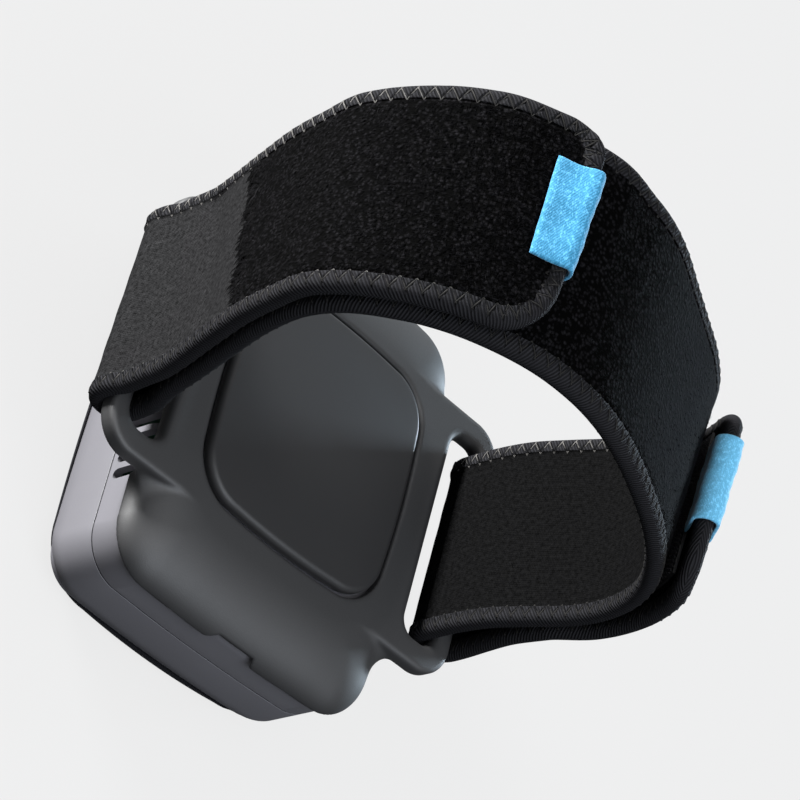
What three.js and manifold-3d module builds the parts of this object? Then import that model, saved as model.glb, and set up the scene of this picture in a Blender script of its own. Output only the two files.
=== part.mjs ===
// Hot and cold therapy unit in a soft cradle with a wide wrap strap.
// Millimetres, +Z up. The unit stands on its front cap, with the origin at the
// centre of that flat face; X runs from strap wing to strap wing, and the
// treatment plate faces up into the strap loop.

import * as THREE from "three";
import { mergeVertices } from "three/addons/utils/BufferGeometryUtils.js";
import Module from "manifold-3d";

const wasm = await Module();
wasm.setup();

// Driving dimensions

const CLEARANCE = 0.3; // running gap between neighbouring pieces
const OVERRUN = 2; // how far a cutting tool runs past the face it cuts
const CORNER_STEPS = 5;
const SIDE_STEPS = 4;
const ROUND_STEPS = 16;
const CURVE_STEPS = 600;

const housing = {
  width: 75,
  length: 101.3,
  corner: 11,
  bow: 0.7,
  wall: 2,
  seamHeight: 19.2,
  seamGap: 0.4,
  frontHeight: 8,
  edgeRound: 1.2,
  edgeSteps: 3,
};

const rearRoll = {
  topHeight: 35.2,
  startHeight: 28,
  insetX: 6.5,
  insetY: 15.5,
  topCorner: 14,
  skin: 1.8,
  steps: 5,
};

const vent = {
  width: 2.6,
  pitch: 4.2,
  lowHeight: 20.8,
  highHeight: 32.2,
  reach: 62,
  endSteps: 3,
};

// The cap and the boards keep these distances from what goes round them.
const cap = {
  insetX: 0.8,
  insetY: 0.95,
  corner: 15.5,
  bow: 1.1,
  height: 7,
  edgeRadius: 5,
  skin: 2,
  neckWall: 1.6,
  neckHeight: 9.6,
  edgeSteps: 5,
};

const lens = { width: 28, length: 12, corner: 3, thickness: 1.5, ledge: 1, recess: 0.2, insetY: 24.7 };

const button = {
  radius: 5.5,
  spacing: 26,
  insetY: 22.7,
  recess: 0.35,
  travel: 0.5,
  flange: 1.1,
  flangeThickness: 0.8,
  dish: 0.5,
  dishMiddle: 0.12,
  stemRadius: 1.8,
  contactGap: 0.1,
};

const tactSwitch = { size: 5, bodyHeight: 0.9, capRadius: 1.5, capHeight: 0.4 };

const panelBoard = { insetX: 4.6, insetY: 5.75, corner: 8, thickness: 1.2, height: 5.9, pegRadius: 2.2 };
const screen = { thickness: 1.8 };

const shellFloor = { height: 10, thickness: 1.4, opening: 16 };

const boss = { insetX: 9, insetY: 9.15, radius: 4, bore: 1.7, headBore: 3.1, headDepth: 2, pilot: 1.6 };
const screw = { headRadius: 2.5, headHeight: 1.5, shankRadius: 1.3, tipHeight: 29, socketRadius: 1, socketDepth: 0.8 };

const cell = { width: 26, length: 66, thickness: 5.9, corner: 2.5, gap: 1, sealLength: 4, sealThickness: 1.4 };

const board = { inset: 1.5, corner: 6, thickness: 1.2 };
const port = { width: 9.2, height: 3.4, length: 7.4, wall: 0.5, cutMargin: 0.5 };
const chip = { size: 9, thickness: 1.1, insetX: 14, insetY: 11 };

const fan = {
  size: 44,
  corner: 5,
  height: 7,
  wall: 1.4,
  plate: 1,
  hubRadius: 8.4,
  bladeGap: 1,
  bladeCount: 9,
  bladeThickness: 0.9,
  bladeSteps: 4,
  bladeTwistShare: 0.16,
  shaftRadius: 1,
  bushRadius: 2.6,
  bushHeight: 3.4,
  spokeCount: 3,
  spokeTurn: 30,
  spokeWidth: 2.4,
  spokeRadius: 6,
};

// The cooling stack keeps these distances inside the edge of the plate.
const sink = { insetX: 3.5, insetY: 2.6, base: 1.6, finHeight: 3.9, finCount: 15, finThickness: 1 };
const cooler = { insetX: 8.5, insetY: 9.6, thickness: 3, face: 0.6, rowWidth: 2.4, rowCount: 5 };
const foam = { insetX: 4, insetY: 4.1, corner: 8.5, sensorCut: 0.35 };
const sensor = { width: 3, length: 2.2, thickness: 1.4 };
const seal = { thickness: 0.6, width: 2.4, inset: 1 };

const plate = {
  insetX: 9,
  insetY: 21.05,
  corner: 12,
  bow: 0.75,
  rise: 4,
  thickness: 2.8,
  edgeRound: 1.6,
  edgeSteps: 4,
  offset: 1.5,
  openingMargin: 1,
};

const cradle = {
  skirtX: 1.6,
  skirtY: 1.55,
  corner: 12.5,
  faceHeight: 38,
  skirtHeight: 28.6,
  insetX: 7,
  insetY: 17,
  faceCorner: 17,
  steps: 6,
  windowReach: 31.5,
  windowRound: 4,
};

const notch = { topWidth: 11, baseWidth: 14.5, height: 2.5, depth: 6 };

const wing = {
  slotGap: 0.9,
  slotWidth: 10.4,
  barWidth: 5.2,
  thickness: 4.6,
  round: 1.9,
  halfHeight: 33.8,
  cornerRadius: 9,
  filletRadius: 5,
  slotHalf: 27,
  slotCorner: 4,
  slotFlare: 1.6,
  cornerSteps: 8,
  roundSteps: 3,
};

const strap = {
  width: 50,
  field: 3.4,
  rim: 4.2,
  rimWidth: 3.8,
  rimStep: 0.5,
  edgeRound: 0.9,
  loopHalfWidth: 61.8,
  loopHeight: 97.4,
  steps: 54,
  wrapSteps: 9,
  rootGap: 0.7,
  cornerKeepShare: 0.94,
};

// Centre line of the inner layer from the left bar over the top to the right
// bar: shares of the loop's half width and of its height above the face.
const loopShares = [
  [-0.787, 0.041],
  [-0.831, 0.123],
  [-0.879, 0.245],
  [-0.935, 0.378],
  [-0.984, 0.511],
  [-1, 0.634],
  [-0.968, 0.746],
  [-0.879, 0.838],
  [-0.75, 0.91],
  [-0.597, 0.961],
  [-0.435, 0.992],
  [-0.274, 1],
  [-0.129, 0.992],
  [0.032, 0.967],
  [0.194, 0.928],
  [0.355, 0.881],
  [0.532, 0.82],
  [0.694, 0.746],
  [0.815, 0.66],
  [0.879, 0.573],
  [0.903, 0.47],
  [0.887, 0.378],
  [0.839, 0.281],
  [0.794, 0.184],
  [0.777, 0.092],
];

// How far each edge of the strap stands out from the loop's line, and where
// along the loop, from the left bar, that begins, is full, eases and ends.
const leans = {
  near: { amount: -2.4, start: 62, full: 88, ease: 195, end: 236 },
  far: { amount: 5.6, start: 72, full: 108, ease: 122, end: 168 },
};
const hook = { thickness: 1.4, width: 38, ease: 12, steps: 8 };

// Each tail: where along the loop its hinge line and its end lie, how far its
// tip stands off, and the radii of its two end corners.
const tails = {
  top: {
    side: -1,
    root: 66,
    rootSteps: 14,
    reach: 115.5,
    hookLength: 34,
    lift: 0.8,
    closeRun: 22,
    nearCorner: 13,
    farCorner: 8,
    steps: 16,
  },
  side: {
    side: 1,
    root: 37,
    rootSteps: 11,
    reach: 76,
    hookLength: 24,
    lift: 1.8,
    closeRun: 46,
    nearCorner: 11,
    farCorner: 7,
    steps: 14,
  },
};

const tab = { nearY: -8.5, farY: 14, length: 8, thickness: 0.9, fold: 1, steps: 4 };

// Sizes that follow from the housing

const capWidth = housing.width - 2 * cap.insetX;
const capLength = housing.length - 2 * cap.insetY;
const lensY = capLength / 2 - lens.insetY;
const buttonY = button.insetY - capLength / 2;
const neckInset = housing.wall + CLEARANCE + cap.neckWall;
const panelWidth = housing.width - 2 * (neckInset + panelBoard.insetX);
const panelLength = housing.length - 2 * (neckInset + panelBoard.insetY);
const boardWidth = housing.width - 2 * (housing.wall + board.inset);
const boardLength = housing.length - 2 * (housing.wall + board.inset);
const bossX = housing.width / 2 - boss.insetX;
const bossY = housing.length / 2 - boss.insetY;
const plateWidth = housing.width - 2 * plate.insetX;
const plateLength = housing.length - 2 * plate.insetY;
const plateTop = rearRoll.topHeight + plate.rise;
const coolerWidth = plateWidth - 2 * cooler.insetX;
const coolerLength = plateLength - 2 * cooler.insetY;
const foamWidth = plateWidth - 2 * foam.insetX;
const foamLength = plateLength - 2 * foam.insetY;
const fanBore = fan.size / 2 - fan.wall;
const cradleWidth = housing.width + 2 * cradle.skirtX;
const cradleLength = housing.length + 2 * cradle.skirtY;
const slotInner = cradleWidth / 2 + wing.slotGap;
const slotOuter = slotInner + wing.slotWidth;
const wingReach = slotOuter + wing.barWidth;

// Finishes

const finishes = {
  capBlack: { color: 0x17181a, roughness: 0.42, metalness: 0 },
  glass: { color: 0x08090b, roughness: 0.08, metalness: 0 },
  shellGrey: { color: 0x8d8b92, roughness: 0.38, metalness: 0.6 },
  keyGrey: { color: 0x3a3b3e, roughness: 0.5, metalness: 0 },
  circuitGreen: { color: 0x1f4a33, roughness: 0.5, metalness: 0 },
  componentBlack: { color: 0x1b1b1d, roughness: 0.5, metalness: 0 },
  cellSilver: { color: 0xa9abae, roughness: 0.4, metalness: 0.5 },
  steel: { color: 0xb6b8ba, roughness: 0.32, metalness: 0.9 },
  brass: { color: 0xb08d4a, roughness: 0.35, metalness: 0.9 },
  aluminium: { color: 0xb4b7ba, roughness: 0.4, metalness: 0.9 },
  ceramic: { color: 0xe4e2dc, roughness: 0.6, metalness: 0 },
  foamGrey: { color: 0x4a4b4d, roughness: 0.95, metalness: 0 },
  plateGrey: { color: 0x3b3b3e, roughness: 0.45, metalness: 0.35 },
  cradleGrey: { color: 0x3c3c3d, roughness: 0.62, metalness: 0 },
  strapBlack: { color: 0x1d1e20, roughness: 0.95, metalness: 0 },
  hookBlack: { color: 0x101112, roughness: 0.8, metalness: 0 },
  tabBlue: { color: 0x3fb0ee, roughness: 0.8, metalness: 0 },
};

const model = new THREE.Group();

function addPiece(name, geometry, finish) {
  const mesh = new THREE.Mesh(geometry, new THREE.MeshStandardMaterial(finishes[finish]));
  mesh.name = name;
  model.add(mesh);
  return mesh;
}

// Solids

function toSolid(geometry) {
  const bare = geometry.clone();
  bare.deleteAttribute("normal");
  bare.deleteAttribute("uv");
  const merged = mergeVertices(bare);
  return new wasm.Manifold(
    new wasm.Mesh({
      numProp: 3,
      vertProperties: new Float32Array(merged.attributes.position.array),
      triVerts: new Uint32Array(merged.index.array),
    }),
  );
}

function toGeometry(solid) {
  const mesh = solid.getMesh();
  const geometry = new THREE.BufferGeometry();
  geometry.setAttribute("position", new THREE.BufferAttribute(mesh.vertProperties, 3));
  geometry.setIndex(new THREE.BufferAttribute(mesh.triVerts, 1));
  geometry.computeVertexNormals();
  return geometry;
}

function cut(solid, tools) {
  return tools.reduce((left, tool) => left.subtract(tool), solid);
}

function join(solids) {
  return solids.reduce((whole, solid) => whole.add(solid));
}

// What make gives at evenly spaced shares from 0 to 1.
function range(count, make) {
  return Array.from({ length: count + 1 }, (_, index) => make(index / count));
}

// A rounded rectangle whose sides bow out a little, as [x, y] points.
function softRect(width, length, corner, bow = 0, centreY = 0) {
  const halfX = width / 2;
  const halfY = length / 2;
  const centres = [
    [halfX - corner, halfY - corner],
    [corner - halfX, halfY - corner],
    [corner - halfX, corner - halfY],
    [halfX - corner, corner - halfY],
  ];
  const outward = [
    [0, 1],
    [-1, 0],
    [0, -1],
    [1, 0],
  ];
  const points = [];
  centres.forEach(([cx, cy], index) => {
    for (let step = 0; step <= CORNER_STEPS; step += 1) {
      const angle = (Math.PI / 2) * (index + step / CORNER_STEPS);
      points.push([cx + corner * Math.cos(angle), cy + corner * Math.sin(angle)]);
    }
    const [nx, ny] = centres[(index + 1) % centres.length];
    const [ox, oy] = outward[index];
    for (let step = 1; step < SIDE_STEPS; step += 1) {
      const share = step / SIDE_STEPS;
      const swell = corner + bow * (1 - (2 * share - 1) ** 2);
      points.push([cx + (nx - cx) * share + ox * swell, cy + (ny - cy) * share + oy * swell]);
    }
  });
  return points.map(([x, y]) => [x, y + centreY]);
}

// Skin over rings of equal point count; the end caps follow the flat section.
function loft(rings, section) {
  const count = section.length;
  const positions = rings.flat(2);
  const flat = section.map(([x, y]) => new THREE.Vector2(x, y));
  const capFaces = THREE.ShapeUtils.triangulateShape(flat, []);
  const turnsLeft = ([a, b, c]) => THREE.ShapeUtils.area([flat[a], flat[b], flat[c]]) > 0;
  if (turnsLeft(capFaces[0]) !== THREE.ShapeUtils.area(flat) > 0) capFaces.forEach((face) => face.reverse());
  const last = (rings.length - 1) * count;
  const faces = [];
  for (let ring = 0; ring < rings.length - 1; ring += 1) {
    for (let point = 0; point < count; point += 1) {
      const next = (point + 1) % count;
      const a = ring * count + point;
      const b = ring * count + next;
      faces.push(a, b, b + count, a, b + count, a + count);
    }
  }
  capFaces.forEach(([a, b, c]) => {
    faces.push(c, b, a);
    faces.push(last + a, last + b, last + c);
  });
  if (signedVolume(positions, faces) < 0) faces.reverse();
  const geometry = new THREE.BufferGeometry();
  geometry.setAttribute("position", new THREE.Float32BufferAttribute(positions, 3));
  geometry.setIndex(faces);
  geometry.computeVertexNormals();
  return geometry;
}

function signedVolume(positions, faces) {
  const corner = (index) => new THREE.Vector3().fromArray(positions, index * 3);
  let volume = 0;
  for (let face = 0; face < faces.length; face += 3) {
    const [a, b, c] = [corner(faces[face]), corner(faces[face + 1]), corner(faces[face + 2])];
    volume += a.dot(b.cross(c));
  }
  return volume;
}

// Stack of rounded rectangles, each { z, width, length, corner, bow, centreY }.
function stack(levels) {
  const sections = levels.map((level) =>
    softRect(level.width, level.length, level.corner, level.bow, level.centreY),
  );
  const rings = sections.map((section, index) => section.map(([x, y]) => [x, y, levels[index].z]));
  return toSolid(loft(rings, sections[0]));
}

function slab(size, low, high) {
  return stack([
    { ...size, z: low },
    { ...size, z: high },
  ]);
}

function box(x0, x1, y0, y1, z0, z1) {
  const geometry = new THREE.BoxGeometry(x1 - x0, y1 - y0, z1 - z0);
  geometry.translate((x0 + x1) / 2, (y0 + y1) / 2, (z0 + z1) / 2);
  return toSolid(geometry);
}

function rod(x, y, radius, low, high, sides = ROUND_STEPS) {
  const geometry = new THREE.CylinderGeometry(radius, radius, high - low, sides);
  geometry.rotateX(Math.PI / 2);
  geometry.translate(x, y, (low + high) / 2);
  return toSolid(geometry);
}

// A flat shape in the Y-Z plane pushed along X from x0 to x1.
function prismAlongX(points, x0, x1) {
  const rings = [x0, x1].map((x) => points.map(([y, z]) => [x, y, z]));
  return toSolid(loft(rings, points));
}

// A flat shape in the X-Z plane pushed along Y from y0 to y1.
function prismAlongY(points, y0, y1) {
  const rings = [y0, y1].map((y) => points.map(([x, z]) => [x, y, z]));
  return toSolid(loft(rings, points));
}

// Profile of [radius, z] points turned about the vertical line through x, y.
function turned(profile, x, y, sides = ROUND_STEPS) {
  const closed = [...profile, profile[0]].map(([radius, z]) => new THREE.Vector2(radius, z));
  const geometry = new THREE.LatheGeometry(closed, sides);
  geometry.rotateX(Math.PI / 2);
  geometry.translate(x, y, 0);
  return upright(geometry);
}

function upright(geometry) {
  const bare = geometry.clone();
  bare.deleteAttribute("normal");
  bare.deleteAttribute("uv");
  const merged = mergeVertices(bare);
  const faces = Array.from(merged.index.array);
  if (signedVolume(merged.attributes.position.array, faces) < 0) faces.reverse();
  merged.setIndex(faces);
  return toSolid(merged);
}

// Outlines that several pieces share

function housingOutline(inset, extra = {}) {
  return {
    width: housing.width - 2 * inset,
    length: housing.length - 2 * inset,
    corner: housing.corner - inset,
    bow: housing.bow,
    centreY: 0,
    ...extra,
  };
}

// Quarter-round shoulder of the rear shell, kept at one distance from it.
function shoulderLevels(inset, drop) {
  const levels = [];
  for (let step = 0; step <= rearRoll.steps; step += 1) {
    const angle = (Math.PI / 2) * (step / rearRoll.steps);
    const draw = 1 - Math.cos(angle);
    const rise = rearRoll.topHeight - drop - rearRoll.startHeight;
    levels.push({
      z: rearRoll.startHeight + rise * Math.sin(angle),
      width: housing.width - 2 * inset - 2 * rearRoll.insetX * draw,
      length: housing.length - 2 * inset - 2 * rearRoll.insetY * draw,
      corner: THREE.MathUtils.lerp(housing.corner, rearRoll.topCorner, draw) - inset,
      bow: housing.bow * (1 - draw),
      centreY: 0,
    });
  }
  return levels;
}

function plateOutline(margin, extra = {}) {
  return {
    width: plateWidth + 2 * margin,
    length: plateLength + 2 * margin,
    corner: plate.corner + margin,
    bow: plate.bow,
    centreY: plate.offset,
    ...extra,
  };
}

const bossPlaces = [
  [-bossX, -bossY],
  [bossX, -bossY],
  [-bossX, bossY],
  [bossX, bossY],
];

const buttonPlaces = [
  ["power", -button.spacing / 2],
  ["mode", button.spacing / 2],
];

// Heights of the inner stack, each resting on the one below
const panelBoardTop = panelBoard.height + panelBoard.thickness;
const floorTop = shellFloor.height + shellFloor.thickness;
const cellLow = floorTop + CLEARANCE;
const boardLow = cellLow + cell.thickness + CLEARANCE;
const boardTop = boardLow + board.thickness;
const rearLow = housing.seamHeight + housing.seamGap / 2;
const frontTop = housing.seamHeight - housing.seamGap / 2;
const fanLow = boardTop + CLEARANCE;
const fanTop = fanLow + fan.height;
const sealLow = rearRoll.topHeight + CLEARANCE;
const plateLow = plateTop - plate.thickness;
const coolerTop = plateLow - CLEARANCE;
const coolerLow = coolerTop - cooler.thickness;
const sinkTop = coolerLow - CLEARANCE;
const finTop = sinkTop - sink.base;
const finLow = finTop - sink.finHeight;

// Front end: cap, lens, keys and their board

function capLevels(inset) {
  const levels = [];
  for (let step = cap.edgeSteps; step >= 0; step -= 1) {
    const angle = (Math.PI / 2) * (step / cap.edgeSteps);
    const draw = cap.edgeRadius * (1 - Math.cos(angle));
    levels.push({
      z: cap.edgeRadius * (1 - Math.sin(angle)) + inset,
      width: capWidth - 2 * draw - 2 * inset,
      length: capLength - 2 * draw - 2 * inset,
      corner: cap.corner - draw - inset,
      bow: cap.bow,
      centreY: 0,
    });
  }
  return levels;
}

function makeFrontCap() {
  const outer = capLevels(0);
  const rim = { ...outer[outer.length - 1], z: cap.height };
  const neck = housingOutline(housing.wall + CLEARANCE);
  const body = stack([...outer, rim]).add(slab(neck, cap.edgeRadius, cap.neckHeight));
  const hollow = stack([
    { ...capLevels(cap.skin)[cap.edgeSteps], z: cap.skin },
    { ...capLevels(cap.skin)[cap.edgeSteps], z: cap.edgeRadius },
  ]);
  const neckHollow = slab(
    housingOutline(neckInset),
    cap.edgeRadius - OVERRUN,
    cap.neckHeight + OVERRUN,
  );
  const trimmedHollow = hollow.intersect(slab(housingOutline(neckInset), 0, cap.height));
  const pegs = [];
  [-1, 1].forEach((sideX) =>
    [-1, 1].forEach((sideY) => {
      const x = sideX * (panelWidth / 2 - panelBoard.corner);
      const y = sideY * (panelLength / 2 - 2 * panelBoard.pegRadius);
      pegs.push(rod(x, y, panelBoard.pegRadius, cap.skin / 2, panelBoard.height - CLEARANCE));
    }),
  );
  const window = slab(
    { width: lens.width, length: lens.length, corner: lens.corner, centreY: lensY },
    -OVERRUN,
    cap.skin + OVERRUN,
  );
  const lensSeat = slab(
    {
      width: lens.width + 2 * lens.ledge,
      length: lens.length + 2 * lens.ledge,
      corner: lens.corner + lens.ledge,
      centreY: lensY,
    },
    -OVERRUN,
    lens.recess + lens.thickness + CLEARANCE,
  );
  const bores = buttonPlaces.map(([, x]) =>
    rod(x, buttonY, button.radius + CLEARANCE, -OVERRUN, cap.skin + OVERRUN),
  );
  const shell = cut(body, [trimmedHollow, neckHollow]).add(join(pegs));
  return toGeometry(cut(shell, [window, lensSeat, ...bores]));
}

function makeLens() {
  const edge = lens.ledge - CLEARANCE;
  return toGeometry(
    slab(
      {
        width: lens.width + 2 * edge,
        length: lens.length + 2 * edge,
        corner: lens.corner + edge,
        centreY: lensY,
      },
      lens.recess,
      lens.recess + lens.thickness,
    ),
  );
}

function makeScreen() {
  return toGeometry(
    slab(
      {
        width: lens.width - 2 * CLEARANCE,
        length: lens.length - 2 * CLEARANCE,
        corner: lens.corner - CLEARANCE,
        centreY: lensY,
      },
      panelBoard.height - CLEARANCE - screen.thickness,
      panelBoard.height - CLEARANCE,
    ),
  );
}

// The key's stem stops just short of the switch when it is pressed right in.
const flangeLow = cap.skin + CLEARANCE;
const switchTop = panelBoard.height - CLEARANCE;
const switchLow = switchTop - tactSwitch.bodyHeight - tactSwitch.capHeight;
const stemTop = switchLow - button.travel - button.contactGap;

function makeButton(x) {
  return toGeometry(
    turned(
      [
        [0, button.recess + button.dish],
        [button.radius / 2, button.recess + button.dishMiddle],
        [button.radius - button.dish, button.recess],
        [button.radius, button.recess + button.dish],
        [button.radius, flangeLow],
        [button.radius + button.flange, flangeLow],
        [button.radius + button.flange, flangeLow + button.flangeThickness],
        [button.stemRadius, flangeLow + button.flangeThickness],
        [button.stemRadius, stemTop],
        [0, stemTop],
      ],
      x,
      buttonY,
    ),
  );
}

function makeSwitch(x) {
  const half = tactSwitch.size / 2;
  const bodyLow = switchTop - tactSwitch.bodyHeight;
  const body = box(x - half, x + half, buttonY - half, buttonY + half, bodyLow, switchTop);
  return toGeometry(body.add(rod(x, buttonY, tactSwitch.capRadius, switchLow, bodyLow + CLEARANCE)));
}

function makePanelBoard() {
  const outline = { width: panelWidth, length: panelLength, corner: panelBoard.corner };
  return toGeometry(slab(outline, panelBoard.height, panelBoardTop));
}

// Front shell with its floor and screw bosses

function makeFrontShell() {
  const edge = range(housing.edgeSteps, (share) => {
    const angle = (Math.PI / 2) * share;
    return housingOutline(housing.edgeRound * (1 - Math.sin(angle)), {
      z: housing.frontHeight + housing.edgeRound * (1 - Math.cos(angle)),
    });
  });
  const outer = stack([...edge, housingOutline(0, { z: frontTop })]);
  const inner = housingOutline(housing.wall);
  const hollows = [
    slab(inner, housing.frontHeight - OVERRUN, shellFloor.height),
    slab(inner, floorTop, frontTop + OVERRUN),
  ];
  const posts = bossPlaces.map(([x, y]) => rod(x, y, boss.radius, shellFloor.height, boardLow - CLEARANCE));
  const bores = bossPlaces.flatMap(([x, y]) => [
    rod(x, y, boss.bore, shellFloor.height - OVERRUN, boardLow + OVERRUN),
    rod(x, y, boss.headBore, shellFloor.height - OVERRUN, shellFloor.height + boss.headDepth),
  ]);
  const half = shellFloor.opening / 2;
  const cableWay = box(-half, half, bossY - half, bossY, shellFloor.height - OVERRUN, floorTop + OVERRUN);
  return toGeometry(cut(cut(outer, hollows).add(join(posts)), [...bores, cableWay]));
}

function makeScrew(x, y) {
  const low = shellFloor.height + boss.headDepth - CLEARANCE - screw.headHeight;
  const seat = low + screw.headHeight;
  return toGeometry(
    turned(
      [
        [0, low + screw.socketDepth],
        [screw.socketRadius, low + screw.socketDepth],
        [screw.socketRadius, low],
        [screw.headRadius, low],
        [screw.headRadius, seat],
        [screw.shankRadius, seat],
        [screw.shankRadius, screw.tipHeight - screw.shankRadius],
        [0, screw.tipHeight],
      ],
      x,
      y,
    ),
  );
}

function makeCell(side) {
  const centreX = (side * (cell.width + cell.gap)) / 2;
  const bodyLength = cell.length - cell.sealLength;
  const pouch = slab(
    { width: cell.width, length: bodyLength, corner: cell.corner },
    cellLow,
    cellLow + cell.thickness,
  );
  const lip = slab(
    { width: cell.width - 2 * cell.corner, length: cell.length + cell.sealLength, corner: cell.corner },
    cellLow + (cell.thickness - cell.sealThickness) / 2,
    cellLow + (cell.thickness + cell.sealThickness) / 2,
  );
  return toGeometry(pouch.add(lip).translate([centreX, 0, 0]));
}

// Main board and what it carries

const portCentreZ = boardTop + CLEARANCE + port.height / 2 + port.wall;
const portFrontY = housing.length / 2 - housing.wall - CLEARANCE;

function makeMainBoard() {
  const holes = bossPlaces.map(([x, y]) => rod(x, y, boss.bore, boardLow - OVERRUN, boardTop + OVERRUN));
  const outline = { width: boardWidth, length: boardLength, corner: board.corner };
  return toGeometry(cut(slab(outline, boardLow, boardTop), holes));
}

function portShape(margin) {
  return softRect(
    port.width + 2 * margin,
    port.height + 2 * margin,
    port.height / 2 + margin - port.wall / 2,
  ).map(([x, z]) => [x, z + portCentreZ]);
}

function makePort() {
  const shell = prismAlongY(portShape(0), portFrontY - port.length, portFrontY);
  const mouth = prismAlongY(portShape(-port.wall), portFrontY - port.length + port.wall, portFrontY + OVERRUN);
  return toGeometry(shell.subtract(mouth));
}

function makeChip() {
  const half = chip.size / 2;
  const x = boardWidth / 2 - chip.insetX;
  const y = chip.insetY - boardLength / 2;
  const low = boardTop + CLEARANCE;
  return toGeometry(box(x - half, x + half, y - half, y + half, low, low + chip.thickness));
}

// Fan: open frame, bush, and a rotor on its own shaft

const bushLow = fanLow + fan.plate / 2;
const rotorLow = fanLow + fan.plate + CLEARANCE;
const rotorTop = fanTop - CLEARANCE;

function makeFanFrame() {
  const outline = { width: fan.size, length: fan.size, corner: fan.corner };
  const body = slab(outline, fanLow, fanTop);
  const bore = rod(0, 0, fanBore, fanLow - OVERRUN, fanTop + OVERRUN, ROUND_STEPS * 2);
  const half = fan.spokeWidth / 2;
  const spokes = Array.from({ length: fan.spokeCount }, (_, index) => {
    const arm = box(0, fanBore + CLEARANCE, -half, half, fanLow, fanLow + fan.plate);
    return arm.rotate([0, 0, (360 * index) / fan.spokeCount + fan.spokeTurn]);
  });
  const centre = rod(0, 0, fan.spokeRadius, fanLow, fanLow + fan.plate);
  const bushHole = rod(0, 0, fan.bushRadius + CLEARANCE, fanLow + fan.plate / 2 - CLEARANCE, fanTop);
  return toGeometry(join([body.subtract(bore), ...spokes, centre]).subtract(bushHole));
}

function makeBush() {
  return toGeometry(
    turned(
      [
        [fan.shaftRadius + CLEARANCE, bushLow],
        [fan.bushRadius, bushLow],
        [fan.bushRadius, bushLow + fan.bushHeight],
        [fan.shaftRadius + CLEARANCE, bushLow + fan.bushHeight],
      ],
      0,
      0,
    ),
  );
}

function makeRotor() {
  const hollowRadius = fan.bushRadius + CLEARANCE;
  const hub = rod(0, 0, fan.hubRadius, rotorLow, rotorTop);
  const bell = rod(0, 0, hollowRadius, rotorLow - OVERRUN, bushLow + fan.bushHeight + CLEARANCE);
  const shaft = rod(0, 0, fan.shaftRadius, bushLow + CLEARANCE, rotorTop);
  const sweep = fan.bladeTwistShare * Math.PI;
  const blades = Array.from({ length: fan.bladeCount }, (_, index) => {
    const start = (2 * Math.PI * index) / fan.bladeCount;
    return toSolid(loft(bladeRings(start, sweep), bladeSection()));
  });
  return toGeometry(join([hub.subtract(bell), shaft, ...blades]));
}

function bladeSection() {
  const half = fan.bladeThickness / 2;
  const depth = (rotorTop - rotorLow) / 2 - CLEARANCE;
  return [
    [-half, -depth],
    [half, -depth],
    [half, depth],
    [-half, depth],
  ];
}

// A blade leaves the hub and leans back as it goes out; each ring is upright.
function bladeRings(start, sweep) {
  const middle = (rotorLow + rotorTop) / 2;
  return range(fan.bladeSteps, (share) => {
    const radius = THREE.MathUtils.lerp(fan.hubRadius - fan.bladeThickness, fanBore - fan.bladeGap, share);
    const angle = start + sweep * share * share;
    return bladeSection().map(([across, height]) => [
      radius * Math.cos(angle) - across * Math.sin(angle),
      radius * Math.sin(angle) + across * Math.cos(angle),
      middle + height,
    ]);
  });
}

// Cooling stack under the plate

function makeHeatSink() {
  const halfX = plateWidth / 2 - sink.insetX;
  const halfY = plateLength / 2 - sink.insetY;
  const base = box(-halfX, halfX, -halfY, halfY, finTop, sinkTop);
  const pitch = (2 * halfX - sink.finThickness) / (sink.finCount - 1);
  const fins = Array.from({ length: sink.finCount }, (_, index) => {
    const x = -halfX + index * pitch;
    return box(x, x + sink.finThickness, -halfY, halfY, finLow, finTop + sink.base / 2);
  });
  return toGeometry(join([base, ...fins]).translate([0, plate.offset, 0]));
}

// Two ceramic faces with rows of legs between them.
function makeCooler() {
  const halfX = coolerWidth / 2;
  const halfY = coolerLength / 2;
  const lower = box(-halfX, halfX, -halfY, halfY, coolerLow, coolerLow + cooler.face);
  const upper = box(-halfX, halfX, -halfY, halfY, coolerTop - cooler.face, coolerTop);
  const rowHalf = cooler.rowWidth / 2;
  const reachX = halfX - cooler.rowWidth;
  const reachY = halfY - cooler.rowWidth;
  const legs = range(cooler.rowCount - 1, (share) => {
    const y = THREE.MathUtils.lerp(-reachY, reachY, share);
    return box(-reachX, reachX, y - rowHalf, y + rowHalf, coolerLow, coolerTop);
  });
  return toGeometry(join([lower, upper, ...legs]).translate([0, plate.offset, 0]));
}

const sensorY = plate.offset - coolerLength / 2 - CLEARANCE - sensor.length / 2 - foam.sensorCut;

function makeFoamRing() {
  const outer = slab(
    { width: foamWidth, length: foamLength, corner: foam.corner, centreY: plate.offset },
    coolerLow,
    coolerTop,
  );
  const halfX = coolerWidth / 2 + CLEARANCE;
  const halfY = coolerLength / 2 + CLEARANCE;
  const middle = box(
    -halfX,
    halfX,
    plate.offset - halfY,
    plate.offset + halfY,
    coolerLow - OVERRUN,
    coolerTop + OVERRUN,
  );
  const pocketHalf = sensor.width / 2 + CLEARANCE;
  const pocket = box(
    -pocketHalf,
    pocketHalf,
    sensorY - sensor.length / 2 - CLEARANCE,
    plate.offset - halfY + OVERRUN,
    coolerTop - sensor.thickness - CLEARANCE,
    coolerTop + OVERRUN,
  );
  return toGeometry(cut(outer, [middle, pocket]));
}

function makeSensor() {
  const half = sensor.width / 2;
  return toGeometry(
    box(
      -half,
      half,
      sensorY - sensor.length / 2,
      sensorY + sensor.length / 2,
      coolerTop - sensor.thickness,
      coolerTop,
    ),
  );
}

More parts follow.
